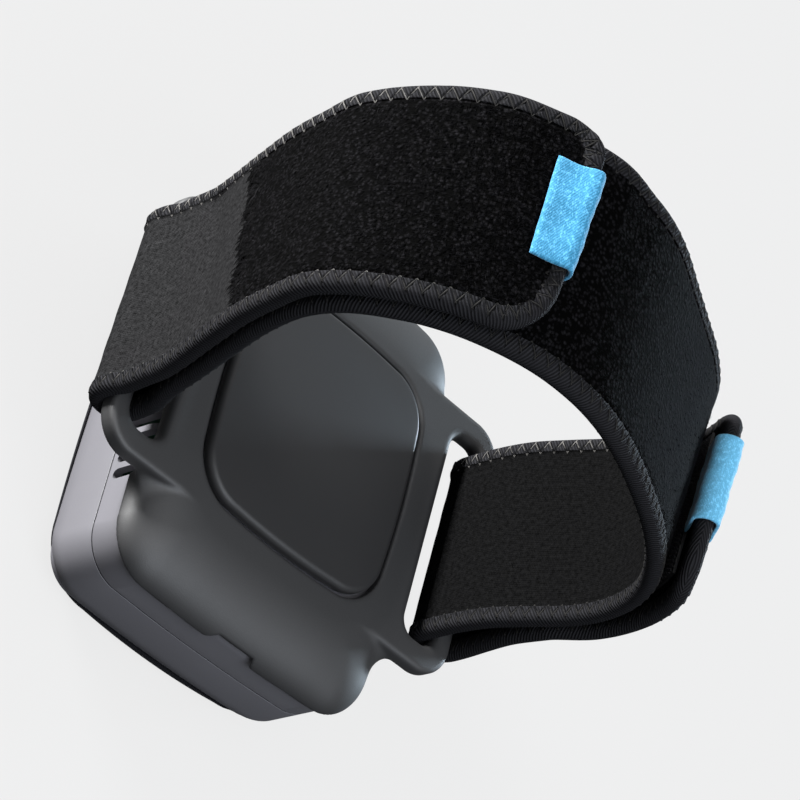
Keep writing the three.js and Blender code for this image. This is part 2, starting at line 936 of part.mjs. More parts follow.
function makeSeal() {
  const outer = slab(plateOutline(-seal.inset), sealLow, sealLow + seal.thickness);
  const inner = slab(plateOutline(-seal.inset - seal.width), sealLow - OVERRUN, sealLow + OVERRUN);
  return toGeometry(outer.subtract(inner));
}

function makePlate() {
  const roundLow = plateTop - plate.edgeRound;
  const levels = [plateOutline(0, { z: plateLow }), plateOutline(0, { z: roundLow })];
  for (let step = 1; step <= plate.edgeSteps; step += 1) {
    const angle = (Math.PI / 2) * (step / plate.edgeSteps);
    const draw = plate.edgeRound * (1 - Math.cos(angle));
    levels.push(plateOutline(-draw, { z: roundLow + plate.edgeRound * Math.sin(angle) }));
  }
  return toGeometry(stack(levels));
}

// Rear shell: rolled shoulder, side vents, plate opening, port and bosses

function ventSlots(side) {
  const radius = vent.width / 2;
  const count = Math.floor(vent.reach / 2 / vent.pitch);
  const x0 = side * (housing.width / 2 - rearRoll.insetX - housing.wall);
  const x1 = side * (housing.width / 2 + housing.bow + OVERRUN);
  const slots = [];
  for (let index = -count; index <= count; index += 1) {
    const middle = index * vent.pitch + plate.offset;
    slots.push(prismAlongX(slotOutline(middle, radius), x0, x1));
  }
  return slots;
}

function slotOutline(middle, radius) {
  const points = [];
  [
    [vent.highHeight - radius, 0],
    [vent.lowHeight + radius, Math.PI],
  ].forEach(([height, start]) => {
    for (let step = 0; step <= vent.endSteps; step += 1) {
      const angle = start + (Math.PI * step) / vent.endSteps;
      points.push([middle + radius * Math.cos(angle), height + radius * Math.sin(angle)]);
    }
  });
  return points;
}

function makeRearShell() {
  const outer = stack([housingOutline(0, { z: rearLow }), ...shoulderLevels(0, 0)]);
  const hollow = stack([
    housingOutline(housing.wall, { z: rearLow - OVERRUN }),
    ...shoulderLevels(housing.wall, rearRoll.skin),
  ]);
  const posts = bossPlaces.map(([x, y]) =>
    rod(x, y, boss.radius, boardTop + CLEARANCE, rearRoll.topHeight - rearRoll.skin / 2),
  );
  const inside = stack([housingOutline(0, { z: rearLow }), ...shoulderLevels(housing.wall / 2, rearRoll.skin / 2)]);
  const shell = outer.subtract(hollow).add(join(posts).intersect(inside));
  const pilots = bossPlaces.map(([x, y]) =>
    rod(x, y, boss.pilot, boardTop - OVERRUN, screw.tipHeight + CLEARANCE),
  );
  const opening = slab(
    {
      width: foamWidth + 2 * CLEARANCE,
      length: foamLength + 2 * CLEARANCE,
      corner: foam.corner + CLEARANCE,
      centreY: plate.offset,
    },
    rearRoll.topHeight - rearRoll.skin - OVERRUN,
    rearRoll.topHeight + OVERRUN,
  );
  const portHole = prismAlongY(
    portShape(port.cutMargin),
    housing.length / 2 - housing.wall - OVERRUN,
    housing.length / 2 + OVERRUN,
  );
  return toGeometry(cut(shell, [...pilots, opening, portHole, ...ventSlots(-1), ...ventSlots(1)]));
}

// Cradle: rolled soft moulding with two slotted wings for the strap

function wingShape(side) {
  const inner = cradleWidth / 2 - cradle.insetX;
  const bodySide = cradleWidth / 2 - CLEARANCE;
  const turns = wing.cornerSteps;
  const points = [[inner, -wing.halfHeight - wing.filletRadius]];
  for (let step = 0; step <= turns; step += 1) {
    const angle = Math.PI - (Math.PI / 2) * (step / turns);
    points.push([
      bodySide + wing.filletRadius + wing.filletRadius * Math.cos(angle),
      -wing.halfHeight - wing.filletRadius + wing.filletRadius * Math.sin(angle),
    ]);
  }
  for (let step = 0; step <= turns; step += 1) {
    const angle = (Math.PI / 2) * (step / turns - 1);
    points.push([
      wingReach - wing.cornerRadius + wing.cornerRadius * Math.cos(angle),
      -wing.halfHeight + wing.cornerRadius + wing.cornerRadius * Math.sin(angle),
    ]);
  }
  const mirrored = points.map(([x, y]) => [x, -y]).reverse();
  return [...points, ...mirrored].map(([x, y]) => new THREE.Vector2(side * x, y + plate.offset));
}

function makeWing(side) {
  const outline = wingShape(side);
  if (side < 0) outline.reverse();
  const geometry = new THREE.ExtrudeGeometry(new THREE.Shape(outline), {
    depth: wing.thickness - 2 * wing.round,
    steps: 1,
    bevelEnabled: true,
    bevelThickness: wing.round,
    bevelSize: wing.round,
    bevelOffset: -wing.round,
    bevelSegments: wing.roundSteps,
  });
  geometry.translate(0, 0, cradle.faceHeight - wing.thickness + wing.round);
  return toSolid(geometry);
}

function makeWingSlot(side) {
  const size = (grow) => ({
    width: wing.slotWidth + 2 * grow,
    length: 2 * (wing.slotHalf + grow),
    corner: wing.slotCorner + grow,
    centreY: plate.offset,
  });
  const low = cradle.faceHeight - wing.thickness;
  const slot = stack([
    { ...size(wing.slotFlare + OVERRUN), z: low - OVERRUN },
    { ...size(wing.slotFlare), z: low },
    { ...size(0), z: low + wing.slotFlare },
    { ...size(0), z: cradle.faceHeight - wing.slotFlare },
    { ...size(wing.slotFlare), z: cradle.faceHeight },
    { ...size(wing.slotFlare + OVERRUN), z: cradle.faceHeight + OVERRUN },
  ]);
  return slot.translate([(side * (slotOuter + slotInner)) / 2, 0, 0]);
}

function cradleLevels() {
  const levels = [];
  for (let step = 0; step <= cradle.steps; step += 1) {
    const angle = (Math.PI / 2) * (step / cradle.steps);
    const draw = 1 - Math.cos(angle);
    levels.push({
      z: cradle.skirtHeight + (cradle.faceHeight - cradle.skirtHeight) * Math.sin(angle),
      width: cradleWidth - 2 * cradle.insetX * draw,
      length: cradleLength - 2 * cradle.insetY * draw,
      corner: THREE.MathUtils.lerp(cradle.corner, cradle.faceCorner, draw),
      bow: housing.bow * (1 - draw),
      centreY: 0,
    });
  }
  return levels;
}

function makeCradle() {
  const body = join([stack(cradleLevels()), makeWing(-1), makeWing(1)]);
  const shoulder = shoulderLevels(-CLEARANCE, -CLEARANCE);
  const pocket = stack([{ ...shoulder[0], z: cradle.skirtHeight - OVERRUN }, ...shoulder]);
  const plateHole = slab(
    plateOutline(plate.openingMargin),
    rearRoll.topHeight - OVERRUN,
    cradle.faceHeight + OVERRUN,
  );
  const windowTop = cradle.faceHeight - wing.thickness;
  const windowTall = 2 * (windowTop - cradle.skirtHeight + cradle.windowRound);
  const windowShape = softRect(2 * cradle.windowReach, windowTall, cradle.windowRound).map(([y, z]) => [
    y + plate.offset,
    z + windowTop - windowTall / 2,
  ]);
  const windowInner = cradleWidth / 2 - cradle.insetX;
  const windows = [-1, 1].map((side) =>
    prismAlongX(windowShape, side * windowInner, side * (cradleWidth / 2 + housing.bow + OVERRUN)),
  );
  const notchLow = cradle.skirtHeight - OVERRUN;
  const flare = ((notch.baseWidth - notch.topWidth) / 2) * (OVERRUN / notch.height);
  const notchShape = [
    [-notch.baseWidth / 2 - flare, notchLow],
    [notch.baseWidth / 2 + flare, notchLow],
    [notch.topWidth / 2, cradle.skirtHeight + notch.height],
    [-notch.topWidth / 2, cradle.skirtHeight + notch.height],
  ];
  const front = -cradleLength / 2 - housing.bow - OVERRUN;
  const notchTool = prismAlongY(notchShape, front, front + notch.depth + OVERRUN);
  const slots = [-1, 1].map(makeWingSlot);
  return toGeometry(cut(body, [pocket, plateHole, ...windows, notchTool, ...slots]));
}

// Strap: one strip that runs from tail to tail through both wing slots

const wrapRadius = wing.barWidth / 2 + CLEARANCE + strap.rim / 2;
const barX = wingReach - wing.barWidth / 2;
const barZ = cradle.faceHeight - wing.thickness / 2;
const layerPitch = strap.rim + CLEARANCE;

function makeLoopCurve() {
  const points = loopShares.map(
    ([x, z]) => new THREE.Vector3(x * strap.loopHalfWidth, 0, cradle.faceHeight + z * strap.loopHeight),
  );
  const start = new THREE.Vector3(wrapRadius - barX, 0, barZ);
  const end = new THREE.Vector3(barX - wrapRadius, 0, barZ);
  const curve = new THREE.CatmullRomCurve3([start, ...points, end], false, "centripetal");
  curve.arcLengthDivisions = CURVE_STEPS;
  return curve;
}

const loopCurve = makeLoopCurve();
const loopLength = loopCurve.getLength();

// Station on the loop at a distance from the bar on one side, moved outward.
function loopStation(side, distance, offset) {
  const share = side < 0 ? distance / loopLength : 1 - distance / loopLength;
  const point = loopCurve.getPointAt(THREE.MathUtils.clamp(share, 0, 1));
  const tangent = loopCurve.getTangentAt(THREE.MathUtils.clamp(share, 0, 1));
  const normal = new THREE.Vector2(-tangent.z, tangent.x);
  return {
    x: point.x + normal.x * offset,
    z: point.z + normal.y * offset,
    outX: normal.x,
    outZ: normal.y,
    along: loopLength * share,
  };
}

// How far the outer layer's middle lies from the inner layer's middle.
function layerSpacing(tail, distance) {
  const closing = 1 - THREE.MathUtils.smoothstep(distance, 0, tail.closeRun);
  const hookStart = tail.reach - tab.length - tail.hookLength;
  const lifting = THREE.MathUtils.smoothstep(distance, hookStart - hook.ease, hookStart);
  const tip = THREE.MathUtils.clamp((distance - tail.root) / (tail.reach - tail.root), 0, 1);
  return (
    layerPitch +
    (2 * wrapRadius - layerPitch) * closing +
    (hook.thickness + CLEARANCE) * lifting +
    tail.lift * tip * tip
  );
}

function tailStation(tail, distance) {
  return loopStation(tail.side, distance, layerSpacing(tail, distance));
}

// Gives each station the direction across the strip, outward from the loop.
function withNormals(stations) {
  return stations.map((station, index) => {
    const before = stations[Math.max(index - 1, 0)];
    const after = stations[Math.min(index + 1, stations.length - 1)];
    const run = new THREE.Vector2(after.x - before.x, after.z - before.z).normalize();
    return { ...station, nx: -run.y, nz: run.x };
  });
}

function bandStations() {
  const left = range(tails.top.rootSteps, (share) => tailStation(tails.top, tails.top.root * (1 - share)));
  const leftWrap = wrapStations(-1);
  const loop = range(strap.steps, (share) => loopStation(-1, loopLength * share, 0));
  const rightWrap = wrapStations(1);
  const right = range(tails.side.rootSteps, (share) => tailStation(tails.side, tails.side.root * share));
  return [...left, ...leftWrap, ...loop, ...rightWrap, ...right];
}

// Half turn round a wing's bar, under it, without its two end stations.
function wrapStations(side) {
  const turn = range(strap.wrapSteps, (share) => Math.PI * share).slice(1, -1);
  return turn.map((angle) => ({
    x: side * barX - wrapRadius * Math.cos(angle),
    z: barZ - wrapRadius * Math.sin(angle),
    outX: 0,
    outZ: 0,
    along: 0,
  }));
}

function leanAt(lean, along) {
  const rise = THREE.MathUtils.smoothstep(along, lean.start, lean.full);
  return lean.amount * Math.max(rise - THREE.MathUtils.smoothstep(along, lean.ease, lean.end), 0);
}

// Point at a station: across the strap, and off its middle line.
function sectionPoint(station, y, offset) {
  const farShare = y / strap.width + 0.5;
  const lean =
    leanAt(leans.near, station.along) * (1 - farShare) + leanAt(leans.far, station.along) * farShare;
  return [
    station.x + station.nx * offset + station.outX * lean,
    y + plate.offset,
    station.z + station.nz * offset + station.outZ * lean,
  ];
}

// Section of the strip: a flat field between two thicker bound edges.
function stripSection(nearY, farY) {
  const rim = strap.rim / 2;
  const field = strap.field / 2;
  const low = rim - strap.edgeRound;
  const half = (near, inward) => [
    [near, -low],
    [near, low],
    [near + inward * strap.edgeRound, rim],
    [near + inward * strap.rimWidth, rim],
    [near + inward * (strap.rimWidth + strap.rimStep), field],
  ];
  const near = half(nearY, 1);
  const far = half(farY, -1);
  const mirror = (points) => points.slice(2).map(([y, n]) => [y, -n]);
  return [...near, ...far.slice(2).reverse(), far[1], far[0], ...mirror(far), ...mirror(near).reverse()];
}

function strip(stations, edges) {
  const rings = stations.map((station, index) => {
    const [nearY, farY] = edges(index / (stations.length - 1));
    return stripSection(nearY, farY).map(([y, offset]) => sectionPoint(station, y, offset));
  });
  return loft(rings, stripSection(-strap.width / 2, strap.width / 2));
}

function makeBand() {
  const straight = () => [-strap.width / 2, strap.width / 2];
  return strip(withNormals(bandStations()), straight);
}

// Stations crowd towards the tip, where the end corners turn.
function tailStations(tail, from, to) {
  return range(tail.steps, (share) =>
    tailStation(tail, THREE.MathUtils.lerp(from, to, Math.sin((Math.PI / 2) * share))),
  );
}

function endInset(radius, left) {
  const short = Math.max(radius - left, 0);
  return radius - Math.sqrt(Math.max(radius * radius - short * short, 0));
}

function makeTail(tail) {
  const from = tail.root + strap.rootGap;
  const stations = tailStations(tail, from, tail.reach);
  if (tail.side > 0) stations.reverse();
  const ordered = withNormals(stations);
  const edges = (share) => {
    const along = tail.side > 0 ? 1 - share : share;
    const left = (tail.reach - from) * (1 - Math.sin((Math.PI / 2) * along));
    return [
      -strap.width / 2 + endInset(tail.nearCorner, left) * strap.cornerKeepShare,
      strap.width / 2 - endInset(tail.farCorner, left) * strap.cornerKeepShare,
    ];
  };
  return strip(ordered, edges);
}

// Plain slab between two distances along a tail, at an offset from its middle.
function tailSlab(tail, from, to, low, high, nearY, farY, steps) {
  const stations = range(steps, (share) => tailStation(tail, THREE.MathUtils.lerp(from, to, share)));
  if (tail.side > 0) stations.reverse();
  const section = [
    [nearY, low],
    [nearY, high],
    [farY, high],
    [farY, low],
  ];
  const rings = withNormals(stations).map((station) =>
    section.map(([y, offset]) => sectionPoint(station, y, offset)),
  );
  return toSolid(loft(rings, section));
}

function makeHookPad(tail) {
  const far = tail.reach - tab.length;
  const from = far - tail.hookLength;
  const high = -strap.rim / 2 - CLEARANCE / 2;
  const low = high - hook.thickness;
  const half = hook.width / 2;
  return toGeometry(tailSlab(tail, from, far - CLEARANCE, low, high, -half, half, hook.steps));
}

function makeTab(tail) {
  const inner = strap.rim / 2 + CLEARANCE;
  const outer = inner + tab.thickness;
  const from = tail.reach - tab.length + CLEARANCE;
  const end = tail.reach + CLEARANCE;
  const whole = tailSlab(tail, from, end + tab.fold, -outer, outer, tab.nearY, tab.farY, tab.steps);
  const gap = tailSlab(
    tail,
    from - OVERRUN,
    end,
    -inner,
    inner,
    tab.nearY - OVERRUN,
    tab.farY + OVERRUN,
    tab.steps,
  );
  return toGeometry(whole.subtract(gap));
}

// Assembly

addPiece("front_cap", makeFrontCap(), "capBlack");
addPiece("display_lens", makeLens(), "glass");
addPiece("display_screen", makeScreen(), "componentBlack");
addPiece("panel_board", makePanelBoard(), "circuitGreen");
buttonPlaces.forEach(([name, x]) => {
  addPiece(`${name}_button`, makeButton(x), "keyGrey");
  addPiece(`${name}_switch`, makeSwitch(x), "componentBlack");
});
addPiece("front_shell", makeFrontShell(), "shellGrey");
bossPlaces.forEach(([x, y], index) => addPiece(`case_screw_${index + 1}`, makeScrew(x, y), "steel"));
addPiece("battery_cell_left", makeCell(-1), "cellSilver");
addPiece("battery_cell_right", makeCell(1), "cellSilver");
addPiece("main_board", makeMainBoard(), "circuitGreen");
addPiece("control_chip", makeChip(), "componentBlack");
addPiece("charging_port", makePort(), "steel");
addPiece("fan_frame", makeFanFrame(), "componentBlack");
addPiece("fan_bush", makeBush(), "brass");
addPiece("fan_rotor", makeRotor(), "componentBlack");
addPiece("heat_sink", makeHeatSink(), "aluminium");
addPiece("cooling_module", makeCooler(), "ceramic");
addPiece("foam_ring", makeFoamRing(), "foamGrey");
addPiece("temperature_sensor", makeSensor(), "componentBlack");
addPiece("rear_shell", makeRearShell(), "shellGrey");
addPiece("plate_seal", makeSeal(), "foamGrey");
addPiece("treatment_plate", makePlate(), "plateGrey");
addPiece("cradle", makeCradle(), "cradleGrey");
addPiece("strap_band", makeBand(), "strapBlack");
Object.entries(tails).forEach(([name, tail]) => {
  addPiece(`strap_tail_${name}`, makeTail(tail), "strapBlack");
  addPiece(`hook_pad_${name}`, makeHookPad(tail), "hookBlack");
  addPiece(`pull_tab_${name}`, makeTab(tail), "tabBlue");
});

export default model;
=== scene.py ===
import math

import bmesh
import bpy
import numpy as np
from mathutils import Matrix, Vector, kdtree


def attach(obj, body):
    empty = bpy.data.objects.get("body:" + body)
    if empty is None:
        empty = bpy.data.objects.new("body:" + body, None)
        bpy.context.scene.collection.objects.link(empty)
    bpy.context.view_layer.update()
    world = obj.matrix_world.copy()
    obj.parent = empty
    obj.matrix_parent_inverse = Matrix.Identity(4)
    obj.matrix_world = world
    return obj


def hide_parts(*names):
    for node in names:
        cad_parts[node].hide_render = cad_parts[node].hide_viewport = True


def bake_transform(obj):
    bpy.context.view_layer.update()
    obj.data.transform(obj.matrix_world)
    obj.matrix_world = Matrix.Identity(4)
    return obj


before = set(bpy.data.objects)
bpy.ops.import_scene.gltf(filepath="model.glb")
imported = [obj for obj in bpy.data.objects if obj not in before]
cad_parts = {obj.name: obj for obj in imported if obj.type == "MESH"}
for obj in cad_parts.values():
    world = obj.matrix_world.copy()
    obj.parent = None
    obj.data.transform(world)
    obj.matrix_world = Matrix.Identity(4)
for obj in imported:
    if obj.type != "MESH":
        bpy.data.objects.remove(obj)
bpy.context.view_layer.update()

bl_info = {
    "name": "Hot and cold therapy unit",
    "version": (1, 0, 0),
    "blender": (4, 5, 0),
    "location": "View3D > Sidebar > Therapy unit",
    "description": "Dresses the packed therapy unit, its cradle and its wrap strap",
    "category": "Object",
}

# Lengths in this file are millimetres until a mesh is made.
MM = 0.001
# Metres
WELD = {"points": 2e-6, "edges": 1e-7}

CLEARANCE = 0.3
OVERRUN = 2.0
TINY = 1e-9
HOUSING = {"width": 75.0, "length": 101.3, "corner": 11.0, "bow": 0.7, "wall": 2.0}
SEAM = {"height": 19.2, "gap": 0.4}
FOOT = {"low": 3.6, "edge": 0.6, "draft_top": 9.5, "draft_x": 1.1, "draft_y": 2.1, "corner": 1.5}
ROLL = {"top": 35.2, "start": 28.0, "inset_x": 6.5, "inset_y": 15.5, "corner": 14.0, "skin": 1.8}
VENT = {"width": 2.6, "pitch": 4.2, "low": 20.8, "high": 32.2, "reach": 62.0}
CAP = {"width": 73.4, "length": 99.4, "corner": 15.5, "bow": 1.1, "height": 3.2, "edge": 5.0, "skin": 2.0}
CAP_RIM = {"skip": 0.15, "draw": 0.2}
NECK = {"wall": 1.6, "top": 9.6}
LENS = {"width": 28.0, "length": 12.0, "corner": 3.0, "y": 25.0}
LENS_SEAT = {"ledge": 1.0, "depth": 1.7}
KEY = {"radius": 5.5, "x": 13.0, "y": -27.0, "recess": 0.35, "flange": 1.1, "rim": 0.6, "dish": 0.5}
KEY_STEM = {"flange": 0.8, "radius": 1.8, "end": 3.7}
PORT = {"width": 9.2, "height": 3.4, "z": 21.6, "margin": 0.5, "flat": 0.3}
PLATE = {"width": 57.0, "length": 59.2, "corner": 12.0, "bow": 0.75, "y": 1.5}
PLATE_SIDE = {"top": 39.2, "low": 36.4, "edge": 1.6, "foot": 0.4}
FOOT_SHARES = ((0.0, 1.0), (0.06, 0.65), (0.3, 0.28), (0.65, 0.06))
LIP = 0.08
# Dark ring sunk in the seam between the case halves, painted shade for the gap
SEAM_SHADE_RING = {"sunk": 0.16, "depth": 1.5, "lap": 0.15}
POST = {"x": 28.5, "y": 41.5, "radius": 4.0, "foot": 10.4, "top": 17.6}
SCREW = {"bore": 1.7, "head": 3.1, "low": 8.0, "seat": 12.0, "top": 20.0}
FLOOR_PLATE = {"low": 10.0, "top": 11.4}
FOAM = {"width": 49.6, "length": 51.6, "corner": 8.8}
CRADLE = {"width": 78.2, "length": 104.4, "corner": 12.5, "face": 38.0, "skirt": 28.6, "plate_gap": 1.0}
SOFT_EDGES = {"slot": 2.4, "window": 0.8, "hole": 0.9, "skirt": 0.5}
CRADLE_PROBE = 0.02
NARROWEST_ROLL = 0.5
FLATTEST = 1e-4
PULL = {"rounds": 3, "flattest": 0.05, "share": 0.8, "reach": 0.3}
CRADLE_BOX = ((-58.0, -54.5, 27.6), (58.0, 54.5, 39.0))
CRADLE_ROLL = {"inset_x": 7.0, "inset_y": 17.0, "corner": 17.0}
CREASE = {"sharp": 0.7, "depth": 5.0}
WINDOW = {"reach": 31.5, "round": 4.0, "end": 48.0}
NOTCH = {"top": 11.0, "base": 14.5, "height": 2.5, "x": 0.0, "depth": 5.3}
WING = {"reach": 55.6, "inner": 40.0, "bar": 5.2, "thickness": 4.6, "round": 1.3, "half": 33.8, "corner": 9.0}
SLOT = {"half": 27.0, "corner": 4.0}
STRAP = {"width": 50.0, "field": 3.4, "rim": 4.2, "rim_width": 3.8, "rim_step": 0.5, "tape_lap": 0.15}
STITCH = {"outer": 1.5, "inner": 4.35, "lift": 0.02}
LEANS = {
    "near": {"amount": -2.4, "start": 62.0, "full": 88.0, "ease": 195.0, "end": 236.0},
    "far": {"amount": 5.6, "start": 72.0, "full": 108.0, "ease": 122.0, "end": 178.0},
    "held": {"amount": 1.6, "start": 150.0, "full": 182.0, "ease": 190.0, "end": 226.0},
    "pressed": {"amount": -1.2, "start": 96.0, "full": 106.0, "ease": 109.0, "end": 114.0},
    "sprung": {"amount": 1.8, "start": 111.0, "full": 116.0, "ease": 119.0, "end": 132.0},
}
FAR_LEANS = ("far", "held", "pressed", "sprung")
# Steps along the strap, in millimetres, and how many of the even steps its line is smoothed over
PROBE = 0.3
OUTLINE_PROBE = 0.2
OUTLINE_STEP = 0.25
PATH = {"step": 0.25, "search": 0.5, "even": 0.2, "smooth": 13}
LOOP = {"half_width": 61.8, "height": 97.4}
HOOK = {"thickness": 1.4, "width": 38.0, "ease": 12.0, "gap": 0.15, "backing": 0.7, "soft": 0.25}
HOOK.update(first=1.0, last=0.7, border=0.8, row_pitch=1.25, pitch=1.15, root=0.8)
HOOK_LINE = [(0, 0, 0), (0, 0, 0.3), (0.05, 0, 0.52), (0.2, 0, 0.68), (0.4, 0, 0.62), (0.47, 0, 0.45)]
HOOK_RADII = [0.19, 0.15, 0.14, 0.13, 0.11, 0.07]
TAILS = {
    "top": {"side": -1, "root": 66.0, "reach": 114.6, "hook": 34.0, "lift": 0.8, "close": 22.0},
    "side": {"side": 1, "root": 37.0, "reach": 76.0, "hook": 24.0, "lift": 1.8, "close": 46.0},
}
TAILS["top"].update(near=13.0, far=8.0)
TAILS["side"].update(near=11.0, far=11.0)
TAB = {"near": -8.5, "far": 14.0, "length": 8.0, "thickness": 0.9, "lap": 1.3, "turn": 1.5, "bulge": 2.45}
# How much painted light each tab's tape gets: the side tab is painted paler, as if lit more strongly than the
# top tab
TAB_PAINTED_LIGHT = {-1: 0.0, 1: 0.55}
TAB_END_SHARES = [0.35, 0.8, 1.0]
LOOP_SHARES = [
    (-0.787, 0.041),
    (-0.831, 0.123),
    (-0.879, 0.245),
    (-0.935, 0.378),
    (-0.984, 0.511),
    (-1, 0.634),
    (-0.968, 0.746),
    (-0.879, 0.838),
    (-0.75, 0.91),
    (-0.597, 0.961),
    (-0.435, 0.992),
    (-0.274, 1),
    (-0.129, 0.992),
    (0.032, 0.967),
    (0.194, 0.928),
    (0.355, 0.881),
    (0.532, 0.82),
    (0.694, 0.746),
    (0.815, 0.66),
    (0.879, 0.573),
    (0.903, 0.47),
    (0.887, 0.378),
    (0.839, 0.281),
    (0.794, 0.184),
    (0.777, 0.092),
]
# Heights at which loop pile takes over from the knit over the left bar, and the distance from the right bar
PILE_START = {"far": 72.0, "near": 85.0, "side": 34.0}
FOLD = {"place": 30.0, "slant": 0.35, "width": 3.6, "depth": 0.5}
PUCKER = {"height": 0.11, "slant": 0.9, "from": 0.7, "full": 1.8, "ease": 3.3, "end": 4.3}
CLOTH_RISE = {"pile": 0.34, "swell": 0.06, "from": 4.1, "full": 4.8}
# Painted shade on the inside of the loop: how far from each bar it begins and where it is full
LOOP_INSIDE_SHADE = {"start": 8.0, "full": 13.0}
BEND = {"before": 6.0, "after": 4.0}
FAR_AWAY = 99.0
UNDERSIDE = 200.0
# Rows across the rounded edge, from the cut edge inwards
NOSE = 2.2
NOSE_ROWS = [NOSE * (1 - math.cos(math.pi / 2 * step / 6)) for step in range(7)]
EDGE_COLUMNS = [*NOSE_ROWS, 2.75, 3.3, 3.75, 3.95, 4.2, 4.5, 5.2]
INNER_COLUMNS = 15
WRAP_RADIUS = WING["bar"] / 2 + CLEARANCE + STRAP["rim"] / 2
BAR_X = WING["reach"] - WING["bar"] / 2
BAR_Z = CRADLE["face"] - WING["thickness"] / 2
LAYER_PITCH = STRAP["rim"] + CLEARANCE
TURN_EASE = {-1: 0.8, 1: 0.0}


# Settings that a user would change


def colour_setting(name, description, default):
    return bpy.props.FloatVectorProperty(
        name=name, description=description, subtype="COLOR", size=3, min=0, max=1, default=default
    )


def length_setting(name, description, default, least, most):
    return bpy.props.FloatProperty(
        name=name, description=description, unit="LENGTH", default=default, min=least, max=most, precision=5
    )


class CaseSettings(bpy.types.PropertyGroup):
    shell_colour: colour_setting("Shell colour", "Base colour of the two case halves", (0.118, 0.116, 0.127))
    cap_colour: colour_setting("Cap colour", "Base colour of the front cap", (0.012, 0.012, 0.014))
    plate_colour: colour_setting("Plate colour", "Colour of the treatment plate", (0.0235, 0.0233, 0.024))
    corner_steps: bpy.props.IntProperty(
        name="Corner steps", description="Faces round each corner of the case", default=16, min=4, max=48
    )


class CradleSettings(bpy.types.PropertyGroup):
    colour: colour_setting("Cradle colour", "Base colour of the soft moulding", (0.0225, 0.0225, 0.0235))
    grid: length_setting("Grid", "Spacing of the grid that the moulding is made on", 0.0005, 0.0003, 0.002)
    crease: length_setting("Wing blend", "How far each wing flows into the body", 0.006, 0.001, 0.012)


class StrapSettings(bpy.types.PropertyGroup):
    pile_colour: colour_setting("Pile colour", "Base colour of the loop pile", (0.0030, 0.0029, 0.0033))
    jersey_colour: colour_setting("Jersey colour", "Base colour of the smooth knit", (0.0105, 0.0105, 0.0109))
    binding_colour: colour_setting("Binding colour", "Colour of the ribbed tape", (0.0125, 0.0125, 0.0142))
    thread_colour: colour_setting("Thread colour", "Colour of the zigzag thread", (0.115, 0.111, 0.106))
    stitch_pitch: length_setting("Stitch pitch", "Distance from one zigzag to the next", 0.0034, 0.001, 0.01)
    thread_width: length_setting("Thread width", "Diameter of the zigzag thread", 0.00032, 0.0001, 0.001)
    row_step: length_setting("Row step", "Distance between rows along the strap", 0.0006, 0.0003, 0.003)


class TabSettings(bpy.types.PropertyGroup):
    colour: colour_setting("Tab colour", "Base colour of the woven pull tabs", (0.027, 0.180, 0.32))
    weave_pitch: length_setting("Weave pitch", "Distance from one rib to the next", 0.00045, 0.0002, 0.003)


class StageSettings(bpy.types.PropertyGroup):
    background: colour_setting("Background", "Floor and backdrop in the picture", (0.871, 0.871, 0.871))
    lens: bpy.props.FloatProperty(
        name="Lens",
        description="Focal length of the camera",
        subtype="DISTANCE_CAMERA",
        default=149.67,
        min=20,
        max=400,
    )


# Meshes


def link(piece):
    bpy.context.scene.collection.objects.link(piece)
    return piece


def new_mesh(name, points, faces=(), gain=MM):
    """A mesh from points in millimetres, or in a shape's own units where the gain is 1."""
    mesh = bpy.data.meshes.new(name)
    mesh.from_pydata((np.asarray(points, float) * gain).tolist(), [], [list(map(int, f)) for f in faces])
    return mesh


def make_piece(name, points, faces, finishes=(), smooth_angle=40.0, gain=MM):
    """A smooth piece from points and the faces that enclose it."""
    mesh = new_mesh(name, points, faces, gain)
    for finish in finishes:
        mesh.materials.append(finish)
    piece = link(bpy.data.objects.new(name, mesh))
    turn_outwards(piece)
    smooth(piece, smooth_angle)
    return piece


def paint(piece, finish):
    piece.data.materials.clear()
    piece.data.materials.append(finish)
    return piece


def remove(piece):
    mesh = piece.data
    bpy.data.objects.remove(piece)
    bpy.data.meshes.remove(mesh)


def store(mesh, key, values, kind="FLOAT"):
    """Keeps one number, or one vector, for every point of a mesh."""
    layer = mesh.attributes.new(key, kind, "POINT")
    layer.data.foreach_set("value" if kind == "FLOAT" else "vector", np.asarray(values, np.float32).ravel())


def store_uv(mesh, name, places):
    """A UV map from one place for each point; where both faces share them, the places come round again."""
    corners = np.zeros(len(mesh.loops), np.int32)
    mesh.loops.foreach_get("vertex_index", corners)
    places = np.asarray(places)[corners % len(places)]
    mesh.uv_layers.new(name=name).data.foreach_set("uv", places.astype(np.float32).ravel())


def turn_outwards(piece):
    tool = bmesh.new()
    tool.from_mesh(piece.data)
    bmesh.ops.recalc_face_normals(tool, faces=tool.faces)
    tool.to_mesh(piece.data)
    tool.free()


def smooth(piece, angle):
    piece.data.polygons.foreach_set("use_smooth", [True] * len(piece.data.polygons))
    piece.data.set_sharp_from_angle(angle=math.radians(angle))


def settle(piece):
    """Turns what a piece's modifiers make into its plain mesh."""
    bpy.context.view_layer.update()
    evaluated = piece.evaluated_get(bpy.context.evaluated_depsgraph_get())
    mesh = bpy.data.meshes.new_from_object(evaluated)
    piece.modifiers.clear()
    old = piece.data
    piece.data = mesh
    bpy.data.meshes.remove(old)
    return piece


def combine(piece, tools, operation="DIFFERENCE", smooth_angle=40.0):
    for tool in tools:
        step = piece.modifiers.new("shape", "BOOLEAN")
        step.object = tool
        step.operation = operation
        step.solver = "EXACT"
    settle(piece)
    for tool in tools:
        remove(tool)
    smooth(piece, smooth_angle)
    return piece


